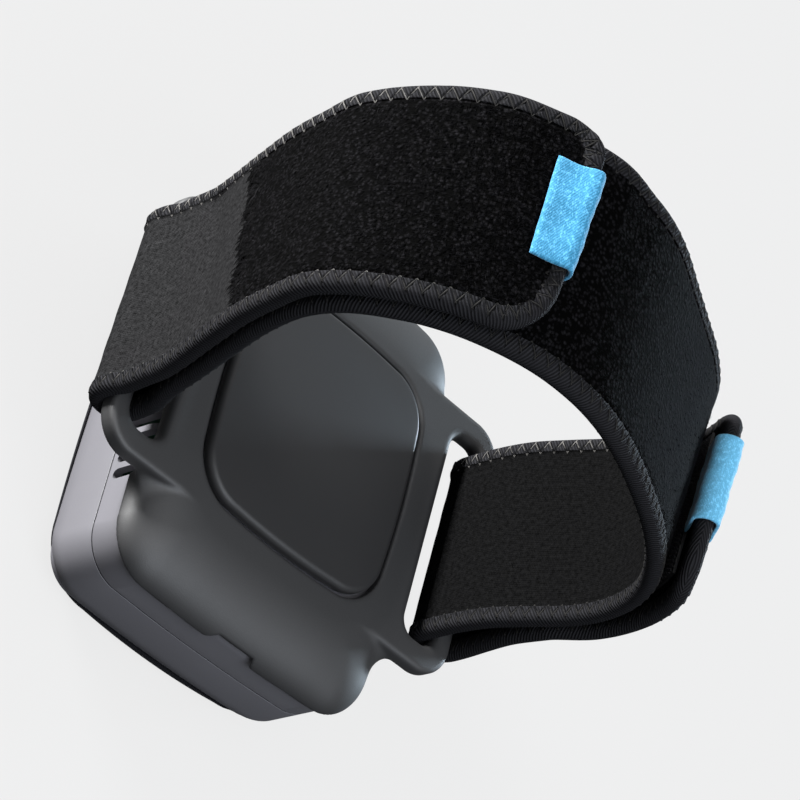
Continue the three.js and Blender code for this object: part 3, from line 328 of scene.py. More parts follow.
def soft_rect(width, length, corner, bow=0.0, y=0.0, steps=16):
    """A rounded rectangle whose sides bow out a little."""
    half_x, half_y = width / 2, length / 2
    centres = [
        (half_x - corner, half_y - corner),
        (corner - half_x, half_y - corner),
        (corner - half_x, corner - half_y),
        (half_x - corner, corner - half_y),
    ]
    outward = [(0, 1), (-1, 0), (0, -1), (1, 0)]
    points = []
    for index, (cx, cy) in enumerate(centres):
        for step in range(steps + 1):
            angle = math.pi / 2 * (index + step / steps)
            points.append((cx + corner * math.cos(angle), cy + corner * math.sin(angle)))
        nx, ny = centres[(index + 1) % 4]
        ox, oy = outward[index]
        for step in range(1, steps):
            share = step / steps
            swell = corner + bow * (1 - (2 * share - 1) ** 2)
            points.append((cx + (nx - cx) * share + ox * swell, cy + (ny - cy) * share + oy * swell))
    return np.array(points) + (0, y)


def ring_at(z, **size):
    flat = soft_rect(**size)
    return np.column_stack([flat, np.full(len(flat), z)])


def loft_faces(count, rings, closed=False):
    faces = []
    for ring in range(rings if closed else rings - 1):
        low, high = ring * count, (ring + 1) % rings * count
        for point in range(count):
            after = (point + 1) % count
            faces.append((low + point, low + after, high + after, high + point))
    if not closed:
        faces.append(tuple(range(count))[::-1])
        faces.append(tuple((rings - 1) * count + point for point in range(count)))
    return faces


def loft(name, rings, closed=False, **kept):
    count = len(rings[0])
    return make_piece(name, np.concatenate(rings), loft_faces(count, len(rings), closed), **kept)


def prism(points, axis, low, high, name="tool"):
    """A flat outline pushed along an axis from low to high; the outline gives the two other coordinates."""
    rings = []
    for place in (low, high):
        ring = np.insert(np.asarray(points, float), axis, place, axis=1)
        rings.append(ring)
    return loft(name, rings)


def outline(table, by=0.0, **more):
    """A table's outline for ring_at, moved outwards by a distance, or inwards where it is negative."""
    size = {key: table[key] for key in ("width", "length", "corner", "bow", "y", "steps") if key in table}
    size.update(width=size["width"] + 2 * by, length=size["length"] + 2 * by, corner=size["corner"] + by)
    return dict(size, **more)


def rolled_in(foot, roll, by=0.0):
    """The outline at the top of a body that rolls over, from the one at its foot."""
    return {
        "width": foot["width"] - 2 * roll["inset_x"],
        "length": foot["length"] - 2 * roll["inset_y"],
        "corner": roll["corner"] + by,
    }


def shoulder_rings(inset, drop, steps, rows=14):
    """Quarter-round shoulder of the rear shell, kept at one distance from it."""
    rings = []
    for row in range(rows + 1):
        angle = math.pi / 2 * row / rows
        draw = 1 - math.cos(angle)
        rise = ROLL["top"] - drop - ROLL["start"]
        rings.append(
            ring_at(
                ROLL["start"] + rise * math.sin(angle),
                width=HOUSING["width"] - 2 * inset - 2 * ROLL["inset_x"] * draw,
                length=HOUSING["length"] - 2 * inset - 2 * ROLL["inset_y"] * draw,
                corner=HOUSING["corner"] + (ROLL["corner"] - HOUSING["corner"]) * draw - inset,
                bow=HOUSING["bow"] * (1 - draw),
                steps=steps,
            )
        )
    return rings


def edge_rings(size, z, inset, rise, rows=4):
    """Rings that round an edge: inset from size at z, full size at z plus rise."""
    rings = []
    for row in range(rows + 1):
        angle = math.pi / 2 * row / rows
        draw = inset * (1 - math.sin(angle))
        rings.append(ring_at(z + rise * (1 - math.cos(angle)), **outline(size, -draw)))
    return rings


def mirrored(rings, z, height):
    """The same rings for the top of a wall that stands on z instead of its foot."""
    turned_over = []
    for ring in reversed(rings):
        flipped = ring.copy()
        flipped[:, 2] = z + height - (ring[:, 2] - z)
        turned_over.append(flipped)
    return turned_over


# Finishes


class Tree:
    """A node tree that is filled one node at a time."""

    def __init__(self, tree):
        self.tree = tree
        tree.nodes.clear()

    def add(self, kind, settings=None, **inputs):
        """A new node. An input is named by its key, or by its number after an i."""
        node = self.tree.nodes.new(kind)
        for key, value in (settings or {}).items():
            setattr(node, key, value)
        for key, value in inputs.items():
            self.feed(node, key.replace("_", " "), value)
        return node

    def node(self, kind, settings=None, **inputs):
        return self.add("ShaderNode" + kind, settings, **inputs)

    def feed(self, node, key, value):
        socket = node.inputs[int(key[1:]) if key[0] == "i" and key[1:].isdigit() else key]
        if isinstance(value, bpy.types.NodeSocket):
            self.tree.links.new(value, socket)
        elif isinstance(value, bpy.types.Node):
            self.tree.links.new(value.outputs[0], socket)
        else:
            socket.default_value = value


class Finish(Tree):
    """A material with one principled shader."""

    def __init__(self, name):
        self.material = bpy.data.materials.new(name)
        self.material.use_nodes = True
        super().__init__(self.material.node_tree)
        output = self.node("OutputMaterial")
        self.shader = self.node("BsdfPrincipled")
        self.feed(output, "Surface", self.shader)

    def shade(self, **inputs):
        for key, value in inputs.items():
            self.feed(self.shader, key.replace("_", " "), value)

    def place(self, scale=(1, 1, 1), turn=(0, 0, 0), uv=None):
        if uv:
            source = self.node("UVMap", {"uv_map": uv}).outputs["UV"]
        else:
            source = self.node("TexCoord").outputs["Object"]
        return self.node("Mapping", Vector=source, Scale=scale, Rotation=turn).outputs[0]

    def noise(self, where, scale, detail=2.0, roughness=0.5):
        node = self.node("TexNoise", Vector=where, Scale=scale, Detail=detail, Roughness=roughness)
        return node.outputs["Fac"]

    def math(self, operation, first, second=None, third=None):
        node = self.node("Math", {"operation": operation}, i0=first)
        if second is not None:
            self.feed(node, "i1", second)
        if third is not None:
            self.feed(node, "i2", third)
        return node.outputs[0]

    def spread(self, value, low, high, to_low=0.0, to_high=1.0):
        node = self.node("MapRange", Value=value)
        for index, number in zip((1, 2, 3, 4), (low, high, to_low, to_high)):
            node.inputs[index].default_value = number
        return node.outputs[0]

    def blend(self, share, first, second):
        node = self.node("Mix", {"data_type": "RGBA"})
        self.feed(node, "i0", share)
        self.feed(node, "i6", first)
        self.feed(node, "i7", second)
        return node.outputs[2]

    def blend_value(self, share, first, second):
        node = self.node("Mix", {"data_type": "FLOAT"})
        self.feed(node, "i0", share)
        self.feed(node, "i2", first)
        self.feed(node, "i3", second)
        return node.outputs[0]

    def waves(self, where, along, scale, distortion, detail, detail_scale=1.0):
        settings = {"bands_direction": along}
        sizes = {"Scale": scale, "Distortion": distortion, "Detail": detail, "Detail_Scale": detail_scale}
        return self.node("TexWave", settings, Vector=where, **sizes).outputs["Fac"]

    def kept(self, attribute):
        return self.node("Attribute", {"attribute_name": attribute}).outputs["Fac"]

    def bump(self, height, strength, distance, under=None):
        node = self.node("Bump", Height=height, Strength=strength, Distance=distance)
        if under is not None:
            self.feed(node, "Normal", under)
        return node.outputs[0]


def rgba(colour, gain=1.0):
    return (*[min(c * gain, 1.0) for c in colour], 1.0)


def moulded(name, colour, roughness, grain=0.12, metallic=0.0, coat=0.0, wear=1.2, level=0.5):
    """Moulded plastic or rubber: fine grain, faint cloudiness and slightly polished edges."""
    finish = Finish(name)
    where = finish.place()
    cloud = finish.noise(where, 55.0, 3.0)
    speck = finish.noise(where, 3800.0, 1.0)
    edge = finish.spread(finish.node("NewGeometry").outputs["Pointiness"], 0.52, 0.60)
    tone = finish.blend(cloud, rgba(colour, 0.93), rgba(colour, 1.07))
    tone = finish.blend(edge, tone, rgba(colour, wear))
    rough = finish.spread(speck, 0.3, 0.7, roughness - 0.04, roughness + 0.05)
    rough = finish.blend_value(edge, rough, roughness * 0.85)
    finish.shade(Base_Color=tone, Roughness=rough, Metallic=metallic)
    finish.shade(Normal=finish.bump(speck, grain, 0.00006))
    finish.shade(Coat_Weight=coat, Coat_Roughness=0.12, Specular_IOR_Level=level)
    return finish.material


def bare_metal(name, colour, roughness, streak=(1, 1, 1)):
    """Brushed or plated metal with streaks along one direction."""
    finish = Finish(name)
    where = finish.place(scale=streak)
    lines = finish.noise(where, 1400.0, 3.0)
    tone = finish.blend(lines, rgba(colour, 0.86), rgba(colour, 1.08))
    rough = finish.spread(lines, 0.3, 0.7, roughness * 0.8, roughness * 1.25)
    finish.shade(Base_Color=tone, Roughness=rough, Metallic=1.0)
    finish.shade(Normal=finish.bump(lines, 0.15, 0.00005))
    return finish.material


def board_finish(name, colour):
    """Solder mask over fine tracks."""
    finish = Finish(name)
    where = finish.place()
    tracks = finish.node("TexBrick", Vector=where, Scale=260.0).outputs["Fac"]
    cloud = finish.noise(where, 90.0)
    tone = finish.blend(tracks, rgba(colour), rgba(colour, 1.6))
    tone = finish.blend(finish.spread(cloud, 0.4, 0.6), tone, rgba(colour, 0.8))
    finish.shade(Base_Color=tone, Roughness=0.42)
    finish.shade(Normal=finish.bump(tracks, 0.3, 0.00005))
    return finish.material


def foam_finish(name, colour):
    """Closed-cell foam with small pores."""
    finish = Finish(name)
    pores = finish.node("TexVoronoi", Vector=finish.place(), Scale=2400.0).outputs["Distance"]
    tone = finish.blend(finish.spread(pores, 0.1, 0.5), rgba(colour, 0.6), rgba(colour, 1.1))
    finish.shade(Base_Color=tone, Roughness=0.95)
    finish.shade(Normal=finish.bump(pores, 0.6, 0.0001))
    return finish.material


def glass_finish(name, colour):
    """Clear window over black, with a faint smudge."""
    finish = Finish(name)
    smudge = finish.noise(finish.place(), 120.0, 4.0)
    tone = finish.blend(smudge, rgba(colour, 0.9), rgba(colour, 1.2))
    finish.shade(Base_Color=tone, Roughness=finish.spread(smudge, 0.35, 0.7, 0.05, 0.12))
    finish.shade(Coat_Weight=1.0, Coat_Roughness=0.03)
    return finish.material


def strap_finish(name, pile_colour, jersey_colour):
    """Smooth knit where the pile attribute is 0, brushed loop pile where it is 1, with painted shade on the
    knit inside the loop.
    """
    finish = Finish(name)
    cloth = finish.place(uv="cloth")
    pile = finish.kept("pile")
    nap = finish.noise(finish.place(scale=(1, 0.55, 1), uv="cloth"), 1500.0, 4.0, 0.62)
    tuft = finish.node("TexVoronoi", Vector=cloth, Scale=1150.0, Randomness=0.9).outputs["Distance"]
    patch = finish.noise(cloth, 260.0, 2.0)
    ragged = finish.math("ADD", pile, finish.spread(nap, 0.3, 0.7, -0.09, 0.09))
    ragged = finish.spread(ragged, 0.10, 0.24)
    # Painted light: the pile is painted light on its tufts and dark as shade in its pits, following the
    # height that its bump uses
    depth = finish.math("MULTIPLY", nap, finish.spread(tuft, 0.0, 0.7, 1.0, 0.25))
    dark = finish.spread(depth, 0.20, 0.50)
    dark = finish.math("MULTIPLY", dark, finish.spread(patch, 0.3, 0.7, 0.75, 1.15))
    pile_tone = finish.blend(dark, rgba(pile_colour, 0.02), rgba(pile_colour, 2.9))
    columns = finish.waves(cloth, "Y", 620.0, 1.2, 2.0, 2.5)
    courses = finish.waves(cloth, "X", 760.0, 1.6, 2.0, 2.5)
    knit = finish.math("MULTIPLY", columns, courses)
    grain = finish.noise(cloth, 980.0, 3.0, 0.75)
    knit = finish.math("ADD", finish.math("MULTIPLY", knit, 0.5), finish.spread(grain, 0.3, 0.7, -0.1, 0.7))
    knit_tone = finish.blend(knit, rgba(jersey_colour, 0.12), rgba(jersey_colour, 2.5))
    knit_tone = finish.blend(finish.spread(patch, 0.35, 0.65, 0.0, 0.35), knit_tone, rgba(jersey_colour, 0.8))
    # Painted shade: the knit is darkened on the inside of the loop, between the bars
    loop_inside_shade_tone = finish.blend(knit, rgba(jersey_colour, 0.02), rgba(jersey_colour, 0.55))
    knit_tone = finish.blend(finish.kept("loop_inside_shade"), knit_tone, loop_inside_shade_tone)
    tone = finish.blend(ragged, knit_tone, pile_tone)
    knit_bump = finish.bump(knit, 0.5, 0.00014)
    height = finish.math("MULTIPLY", depth, ragged)
    normal = finish.bump(height, 0.95, 0.0006, under=knit_bump)
    finish.shade(Base_Color=tone, Roughness=0.93, Normal=normal)
    finish.shade(Specular_IOR_Level=0.03)
    return finish.material


def binding_finish(name, colour):
    """Ribbed tape: fine slanting ribs with painted shade in the valleys and a painted highlight on the
    crests, and painted shade in the groove under the thread.
    """
    finish = Finish(name)
    slant = finish.place(uv="cloth", turn=(0, 0, math.radians(28)))
    ribs = finish.waves(slant, "X", 440.0, 1.1, 2.0, 1.4)
    fuzz = finish.noise(finish.place(uv="cloth"), 2600.0, 2.0)
    patch = finish.noise(finish.place(uv="cloth"), 180.0, 2.0)
    seam = finish.node("SeparateXYZ", Vector=finish.node("UVMap", {"uv_map": "seam"}).outputs[0]).outputs
    swing = finish.math("PINGPONG", seam["X"], 0.5)
    leg = finish.math("MULTIPLY_ADD", swing, 2 * (STITCH["inner"] - STITCH["outer"]), STITCH["outer"])
    off = finish.math("ABSOLUTE", finish.math("SUBTRACT", seam["Y"], leg))
    groove_and_shade = finish.spread(off, 0.15, 1.15, 1.0, 0.0)
    # Painted light: rib crests lightened and valleys darkened in the colour, and the groove under the thread
    # painted dark as shade
    tone = finish.blend(ribs, rgba(colour, 0.30), rgba(colour, 1.55))
    tone = finish.blend(finish.spread(patch, 0.35, 0.65, 0.0, 0.4), tone, rgba(colour, 0.7))
    tone = finish.blend(finish.math("MULTIPLY", groove_and_shade, 0.75), tone, rgba(colour, 0.2))
    height = finish.math("ADD", ribs, finish.math("MULTIPLY", fuzz, 0.35))
    dip = finish.bump(finish.math("SUBTRACT", 1.0, groove_and_shade), 0.9, 0.00035)
    finish.shade(Base_Color=tone, Roughness=0.8, Normal=finish.bump(height, 0.7, 0.00022, under=dip))
    finish.shade(Specular_IOR_Level=0.06)
    return finish.material


# Where the thread gets a painted highlight from the light that catches it, and is painted dark as shade
# elsewhere: from one place to another in metres, and how much it is at each
THREAD_HIGHLIGHT = {
    "left": (-0.050, -0.040, 1.0, 0.0),
    "left_height": (0.114, 0.134, 1.0, 0.0),
    "right": (0.0, 0.03, 0.0, 0.8),
    "right_height": (0.085, 0.105, 1.0, 0.0),
    "far": (0.0, 0.012),
    "near": (-0.0214, -0.0200, 0.0, 0.6),
    "near_end": (-0.0185, -0.017, 1.0, 0.0),
}


def thread_finish(name, colour):
    """Twisted sewing thread, with a painted highlight along the far edge where the light catches it, and
    painted shade that darkens it elsewhere.
    """
    finish = Finish(name)
    where = finish.place()
    twist = finish.noise(where, 5200.0, 1.0)
    sides = finish.node("SeparateXYZ", Vector=where).outputs
    # Painted highlight: the thread is lighter at the left and right of the far edge and at the near edge's
    # tips
    left = finish.spread(sides["X"], *THREAD_HIGHLIGHT["left"])
    left = finish.math("MULTIPLY", left, finish.spread(sides["Z"], *THREAD_HIGHLIGHT["left_height"]))
    right = finish.spread(sides["X"], *THREAD_HIGHLIGHT["right"])
    right = finish.math("MULTIPLY", right, finish.spread(sides["Z"], *THREAD_HIGHLIGHT["right_height"]))
    painted_highlight = finish.math("MULTIPLY", finish.math("ADD", left, right), finish.spread(sides["Y"], *THREAD_HIGHLIGHT["far"]))
    tips = finish.math("MULTIPLY", left, finish.spread(sides["Y"], *THREAD_HIGHLIGHT["near"]))
    tips = finish.math("MULTIPLY", tips, finish.spread(sides["Y"], *THREAD_HIGHLIGHT["near_end"]))
    painted_highlight = finish.math("ADD", painted_highlight, tips)
    patch = finish.spread(finish.noise(where, 900.0, 2.0), 0.35, 0.65, 0.35, 1.0)
    painted_highlight = finish.math("MULTIPLY", painted_highlight, patch)
    tone = finish.blend(twist, rgba(colour, 0.75), rgba(colour, 1.2))
    # Painted shade: away from the painted highlight the thread is darkened to a small share of its colour
    tone = finish.blend(painted_highlight, finish.blend(twist, rgba(colour, 0.08), rgba(colour, 0.2)), tone)
    finish.shade(Base_Color=tone, Roughness=0.85, Normal=finish.bump(twist, 0.3, 0.00004))
    finish.shade(Specular_IOR_Level=0.1)
    return finish.material


def tab_finish(name, colour, pitch, painted_light):
    """Soft ribbed tape, with slanting ribs and pale flecks where the fibres catch the light."""
    finish = Finish(name)
    slant = finish.place(uv="cloth", turn=(0, 0, math.radians(-32)))
    ribs = finish.waves(slant, "X", 0.31 / pitch, 2.6, 3.0)
    flecks = finish.noise(finish.place(uv="cloth", scale=(1, 0.6, 1)), 1700.0, 3.0, 0.8)
    waves = finish.noise(finish.place(uv="cloth", scale=(1, 3, 1)), 150.0, 2.0)
    # Painted light: the last argument makes the pale colour paler and spreads it over more of the tape, so
    # that one tab looks more strongly lit than the other
    pale = (0.14 + 0.1 * painted_light, 0.46 + 0.2 * painted_light, 0.76 + 0.15 * painted_light)
    tone = finish.blend(finish.spread(ribs, 0.1, 0.9), rgba(colour, 0.82), rgba(colour, 1.12))
    tone = finish.blend(finish.spread(flecks, 0.50, 0.64, 0.0, 0.62 + 0.6 * painted_light), tone, rgba(pale))
    tone = finish.blend(finish.spread(flecks, 0.28, 0.42, 0.22, 0.0), tone, rgba(colour, 0.6))
    tone = finish.blend(finish.spread(waves, 0.45, 0.7, 0.8 * painted_light, 0.06 + 0.8 * painted_light), tone, rgba(pale))
    height = finish.math("ADD", finish.math("MULTIPLY", ribs, 0.4), finish.math("MULTIPLY", flecks, 0.8))
    finish.shade(Base_Color=tone, Roughness=0.85, Normal=finish.bump(height, 0.4, 0.00014))
    finish.shade(Sheen_Weight=0.3, Sheen_Roughness=0.4, Specular_IOR_Level=0.25)
    return finish.material


# Case


def make_front_cap(steps):
    size = outline(CAP, steps=steps)
    whole = edge_rings(size, 0.0, CAP["edge"], CAP["edge"], rows=16)
    face = [ring for ring in whole if ring[0, 2] < CAP["height"] - CAP_RIM["skip"]]
    drawn = CAP["edge"] - math.sqrt(CAP["edge"] ** 2 - (CAP["edge"] - CAP["height"]) ** 2) + CAP_RIM["draw"]
    neck = outline(HOUSING, -(HOUSING["wall"] + CLEARANCE), steps=steps)
    hollow = outline(HOUSING, -(HOUSING["wall"] + CLEARANCE + NECK["wall"]), steps=steps)
    rings = [
        *face,
        ring_at(CAP["height"], **outline(size, -drawn)),
        ring_at(CAP["height"], **neck),
        ring_at(NECK["top"], **neck),
        ring_at(NECK["top"], **hollow),
        ring_at(CAP["skin"], **hollow),
    ]
    cap = loft("front_cap_cover", rings)
    window, seat = outline(LENS), outline(LENS, LENS_SEAT["ledge"])
    seat_top = LENS_SEAT["depth"] + CLEARANCE
    cut_top = CAP["skin"] + OVERRUN
    tools = [
        loft("window", [ring_at(-OVERRUN, **window), ring_at(cut_top, **window)]),
        loft("seat", [ring_at(-OVERRUN, **seat), ring_at(seat_top, **seat)]),
    ]
    for x in (-KEY["x"], KEY["x"]):
        tools.append(cylinder(x, KEY["y"], KEY["radius"] + CLEARANCE, -OVERRUN, cut_top, 64))
    return combine(cap, tools)


def circle(x, y, z, radius, sides):
    turn = np.linspace(0, 2 * math.pi, sides, endpoint=False)
    return np.column_stack([x + radius * np.cos(turn), y + radius * np.sin(turn), np.full(sides, float(z))])


def cylinder(x, y, radius, low, high, sides=32):
    return loft("tool", [circle(x, y, low, radius, sides), circle(x, y, high, radius, sides)])


def drafted_rings(steps, rows=8):
    """The foot of the front shell, whose ends draw in towards the cap below a small round edge."""
    edge, rings = FOOT["edge"], []
    places = [(height * edge, inset * edge) for height, inset in FOOT_SHARES]
    rise = FOOT["draft_top"] - FOOT["low"]
    places += [(edge + (rise - edge) * row / rows, 0.0) for row in range(rows + 1)]
    for height, inset in places:
        ease = (1 - height / rise) ** 2
        rings.append(
            ring_at(
                FOOT["low"] + height,
                width=HOUSING["width"] - 2 * (FOOT["draft_x"] * ease + inset),
                length=HOUSING["length"] - 2 * (FOOT["draft_y"] * ease + inset),
                corner=HOUSING["corner"] + FOOT["corner"] * ease - inset,
                bow=HOUSING["bow"],
                steps=steps,
            )
        )
    return rings


def make_front_shell(steps):
    outer, inner = outline(HOUSING, steps=steps), outline(HOUSING, -HOUSING["wall"], steps=steps)
    top = SEAM["height"] - SEAM["gap"] / 2
    lip = mirrored(edge_rings(outer, top - LIP, LIP, LIP, rows=3), top - LIP, LIP)
    rings = [
        ring_at(FLOOR_PLATE["low"], **inner),
        ring_at(FOOT["low"], **inner),
        *drafted_rings(steps),
        *lip,
        ring_at(top, **inner),
        ring_at(FLOOR_PLATE["top"], **inner),
    ]
    shell = loft("front_shell_cover", rings)
    places = [(x, y) for x in (-POST["x"], POST["x"]) for y in (-POST["y"], POST["y"])]
    posts = [cylinder(x, y, POST["radius"], POST["foot"], POST["top"]) for x, y in places]
    combine(shell, posts, "UNION")
    bores = [cylinder(x, y, SCREW["bore"], SCREW["low"], SCREW["top"]) for x, y in places]
    heads = [cylinder(x, y, SCREW["head"], SCREW["low"], SCREW["seat"]) for x, y in places]
    return combine(shell, bores + heads)


def slot_outline(middle, low, high, radius, steps=10):
    points = []
    for centre, start in ((high - radius, 0.0), (low + radius, math.pi)):
        for step in range(steps + 1):
            angle = start + math.pi * step / steps
            points.append((middle + radius * math.cos(angle), centre + radius * math.sin(angle)))
    return points


def make_rear_shell(steps):
    outer, inner = outline(HOUSING, steps=steps), outline(HOUSING, -HOUSING["wall"], steps=steps)
    low = SEAM["height"] + SEAM["gap"] / 2
    opening = dict(FOAM, y=PLATE["y"], steps=steps)
    rings = [
        *edge_rings(outer, low, LIP, LIP, rows=3),
        *shoulder_rings(0.0, 0.0, steps),
        ring_at(ROLL["top"], **opening),
        ring_at(ROLL["top"] - ROLL["skin"], **opening),
        *reversed(shoulder_rings(HOUSING["wall"], ROLL["skin"], steps)),
        ring_at(low, **inner),
    ]
    shell = loft("rear_shell_cover", rings, closed=True)
    count = int(VENT["reach"] / 2 / VENT["pitch"])
    tools = []
    for side in (-1, 1):
        inside = side * (HOUSING["width"] / 2 - ROLL["inset_x"] - HOUSING["wall"])
        outside = side * (HOUSING["width"] / 2 + HOUSING["bow"] + OVERRUN)
        for index in range(-count, count + 1):
            middle = index * VENT["pitch"] + PLATE["y"]
            vent = slot_outline(middle, VENT["low"], VENT["high"], VENT["width"] / 2)
            tools.append(prism(vent, 0, min(inside, outside), max(inside, outside)))
    width, height = (PORT[key] + 2 * PORT["margin"] for key in ("width", "height"))
    corner = PORT["height"] / 2 + PORT["margin"] - PORT["flat"]
    mouth = soft_rect(width, height, corner, steps=8) + (0, PORT["z"])
    end = HOUSING["length"] / 2
    tools.append(prism(mouth, 1, end - 2 * HOUSING["wall"], end + OVERRUN))
    return combine(shell, [join_tools(tools)])


def make_seam_shade_ring(steps):
    """Dark ring in the seam between the case halves: painted shade that makes the gap read as a dark line."""
    reach = SEAM["gap"] / 2
    low, high = SEAM["height"] - reach - SEAM_SHADE_RING["lap"], SEAM["height"] + reach + SEAM_SHADE_RING["lap"]
    outer, inner = (outline(HOUSING, -SEAM_SHADE_RING[key], steps=steps) for key in ("sunk", "depth"))
    rings = [ring_at(low, **inner), ring_at(low, **outer), ring_at(high, **outer), ring_at(high, **inner)]
    return loft("case_gasket", rings, closed=True)


def join_tools(tools):
    with bpy.context.temp_override(active_object=tools[0], selected_editable_objects=tools):
        bpy.ops.object.join()
    return tools[0]


def turned(name, profile, x, y, sides=64):
    """Profile of (radius, height) points, from axis to axis, turned about the upright line through x, y."""
    points, rows = [], []
    for radius, z in profile:
        if radius == 0:
            rows.append([len(points)] * sides)
            points.append((x, y, z))
        else:
            rows.append(list(range(len(points), len(points) + sides)))
            points.extend(circle(x, y, z, radius, sides).tolist())
    faces = []
    for low, high in zip(rows, rows[1:]):
        for point in range(sides):
            after = (point + 1) % sides
            corners = [low[point], low[after], high[after], high[point]]
            faces.append(tuple(dict.fromkeys(corners)))
    return make_piece(name, points, faces, smooth_angle=35)


def make_key(name, x):
    """A dished key with a rounded rim, its flange and its stem."""
    top, rim, outer = KEY["recess"], KEY["rim"], KEY["radius"] + KEY["flange"]
    flange = CAP["skin"] + CLEARANCE
    behind = flange + KEY_STEM["flange"]
    dish = KEY["radius"] - rim
    profile = []
    for step in range(9):
        share = step / 8
        profile.append((dish * share, top + KEY["dish"] * (1 - share * share)))
    for step in range(1, 6):
        angle = math.pi / 2 * step / 5
        profile.append((dish + rim * math.sin(angle), top + rim * (1 - math.cos(angle))))
    profile += [(KEY["radius"], flange), (outer, flange), (outer, behind)]
    profile += [(KEY_STEM["radius"], behind), (KEY_STEM["radius"], KEY_STEM["end"]), (0.0, KEY_STEM["end"])]
    return turned(name, profile, x, KEY["y"])


def make_plate(steps):
    size = outline(PLATE, steps=steps)
    foot = edge_rings(size, PLATE_SIDE["low"], PLATE_SIDE["foot"], PLATE_SIDE["foot"], rows=3)
    crown = edge_rings(size, 0.0, PLATE_SIDE["edge"], PLATE_SIDE["edge"], rows=8)
    return loft("treatment_plate_face", [*foot, *mirrored(crown, 0.0, PLATE_SIDE["top"])], smooth_angle=60)


# Cradle, made on a grid from distances to its surfaces


def rect_distance(x, y, width, length, corner, bow=0.0):
    half_x, half_y = width / 2, length / 2
    swell_x = bow * np.clip(1 - (y / (half_y - corner)) ** 2, 0, 1)
    swell_y = bow * np.clip(1 - (x / (half_x - corner)) ** 2, 0, 1)
    past_x = np.abs(x) - swell_x - (half_x - corner)
    past_y = np.abs(y) - swell_y - (half_y - corner)
    outside = np.hypot(np.maximum(past_x, 0), np.maximum(past_y, 0))
    return outside + np.minimum(np.maximum(past_x, past_y), 0) - corner


def rolled_distance(x, y, z, foot, top, low, high):
    """Distance to a body whose sides roll over from its foot outline to its top outline."""
    past_foot = rect_distance(x, y, **foot)
    past_top = rect_distance(x, y, **top)
    reach = np.maximum(past_top - past_foot, NARROWEST_ROLL)
    across = np.maximum(past_top / reach, 0)
    up = np.maximum((z - low) / (high - low), 0)
    turn = np.hypot(across, up)
    slope = np.hypot(across / reach, up / (high - low))
    return np.where(slope < FLATTEST, low - high, turn * (turn - 1) / np.maximum(slope, FLATTEST))


def plate_distance(flat, z, middle, half, rounding):
    past_flat = flat + rounding
    past_z = np.abs(z - middle) - (half - rounding)
    outside = np.hypot(np.maximum(past_flat, 0), np.maximum(past_z, 0))
    return outside + np.minimum(np.maximum(past_flat, past_z), 0) - rounding


def soft_join(a, b, reach):
    share = np.clip(0.5 + 0.5 * (b - a) / reach, 0, 1)
    return b + (a - b) * share - reach * share * (1 - share)


def soft_cut(a, b, reach):
    return -soft_join(-a, b, reach)


def cradle_distance(x, y, z, crease):
    """Body and wings joined softly, less the slots, the case, the vents' windows, the plate and the notch."""
    foot = outline(CRADLE, bow=HOUSING["bow"])
    body = rolled_distance(x, y, z, foot, rolled_in(foot, CRADLE_ROLL), CRADLE["skirt"], CRADLE["face"])
    middle_y = y - PLATE["y"]
    wing_flat = rect_distance(x, middle_y, 2 * WING["reach"], 2 * WING["half"], WING["corner"])
    wings = plate_distance(wing_flat, z, BAR_Z, WING["thickness"] / 2, WING["round"])
    depth = np.clip((CRADLE["face"] - z) / CREASE["depth"], 0, 1)
    solid = soft_join(body, wings, CREASE["sharp"] + (crease - CREASE["sharp"]) * depth**1.5)
    solid = np.maximum(solid, z - CRADLE["face"])
    slot_x = np.abs(x) - (WING["reach"] - WING["bar"] + WING["inner"]) / 2
    slot_width = WING["reach"] - WING["bar"] - WING["inner"]
    slots = rect_distance(slot_x, middle_y, slot_width, 2 * SLOT["half"], SLOT["corner"])
    solid = soft_cut(solid, slots, SOFT_EDGES["slot"])
    shell = outline(HOUSING, CLEARANCE)
    shell_top = rolled_in(shell, ROLL, CLEARANCE)
    pocket = rolled_distance(x, y, z, shell, shell_top, ROLL["start"], ROLL["top"] + CLEARANCE)
    solid = np.maximum(solid, -pocket)
    window_top = CRADLE["face"] - WING["thickness"]
    window_tall = 2 * (window_top - CRADLE["skirt"] + WINDOW["round"])
    window_z = z - window_top + window_tall / 2
    windows = rect_distance(middle_y, window_z, 2 * WINDOW["reach"], window_tall, WINDOW["round"])
    windows = np.maximum(windows, np.abs(x) - WINDOW["end"])
    windows = np.maximum(windows, CRADLE["width"] / 2 - CRADLE_ROLL["inset_x"] - np.abs(x))
    solid = soft_cut(solid, windows, SOFT_EDGES["window"])
    hole = outline(PLATE, CRADLE["plate_gap"])
    del hole["y"]
    solid = soft_cut(solid, rect_distance(x, middle_y, **hole), SOFT_EDGES["hole"])
    rise = (z - CRADLE["skirt"]) / NOTCH["height"]
    half_notch = NOTCH["base"] / 2 + (NOTCH["top"] - NOTCH["base"]) / 2 * rise
    notch = np.maximum(np.abs(x - NOTCH["x"]) - half_notch, z - CRADLE["skirt"] - NOTCH["height"])
    notch = np.maximum(notch, y + CRADLE["length"] / 2 - NOTCH["depth"])
    solid = soft_cut(solid, notch, SOFT_EDGES["skirt"])
    return soft_cut(solid, z - CRADLE["skirt"], SOFT_EDGES["skirt"])


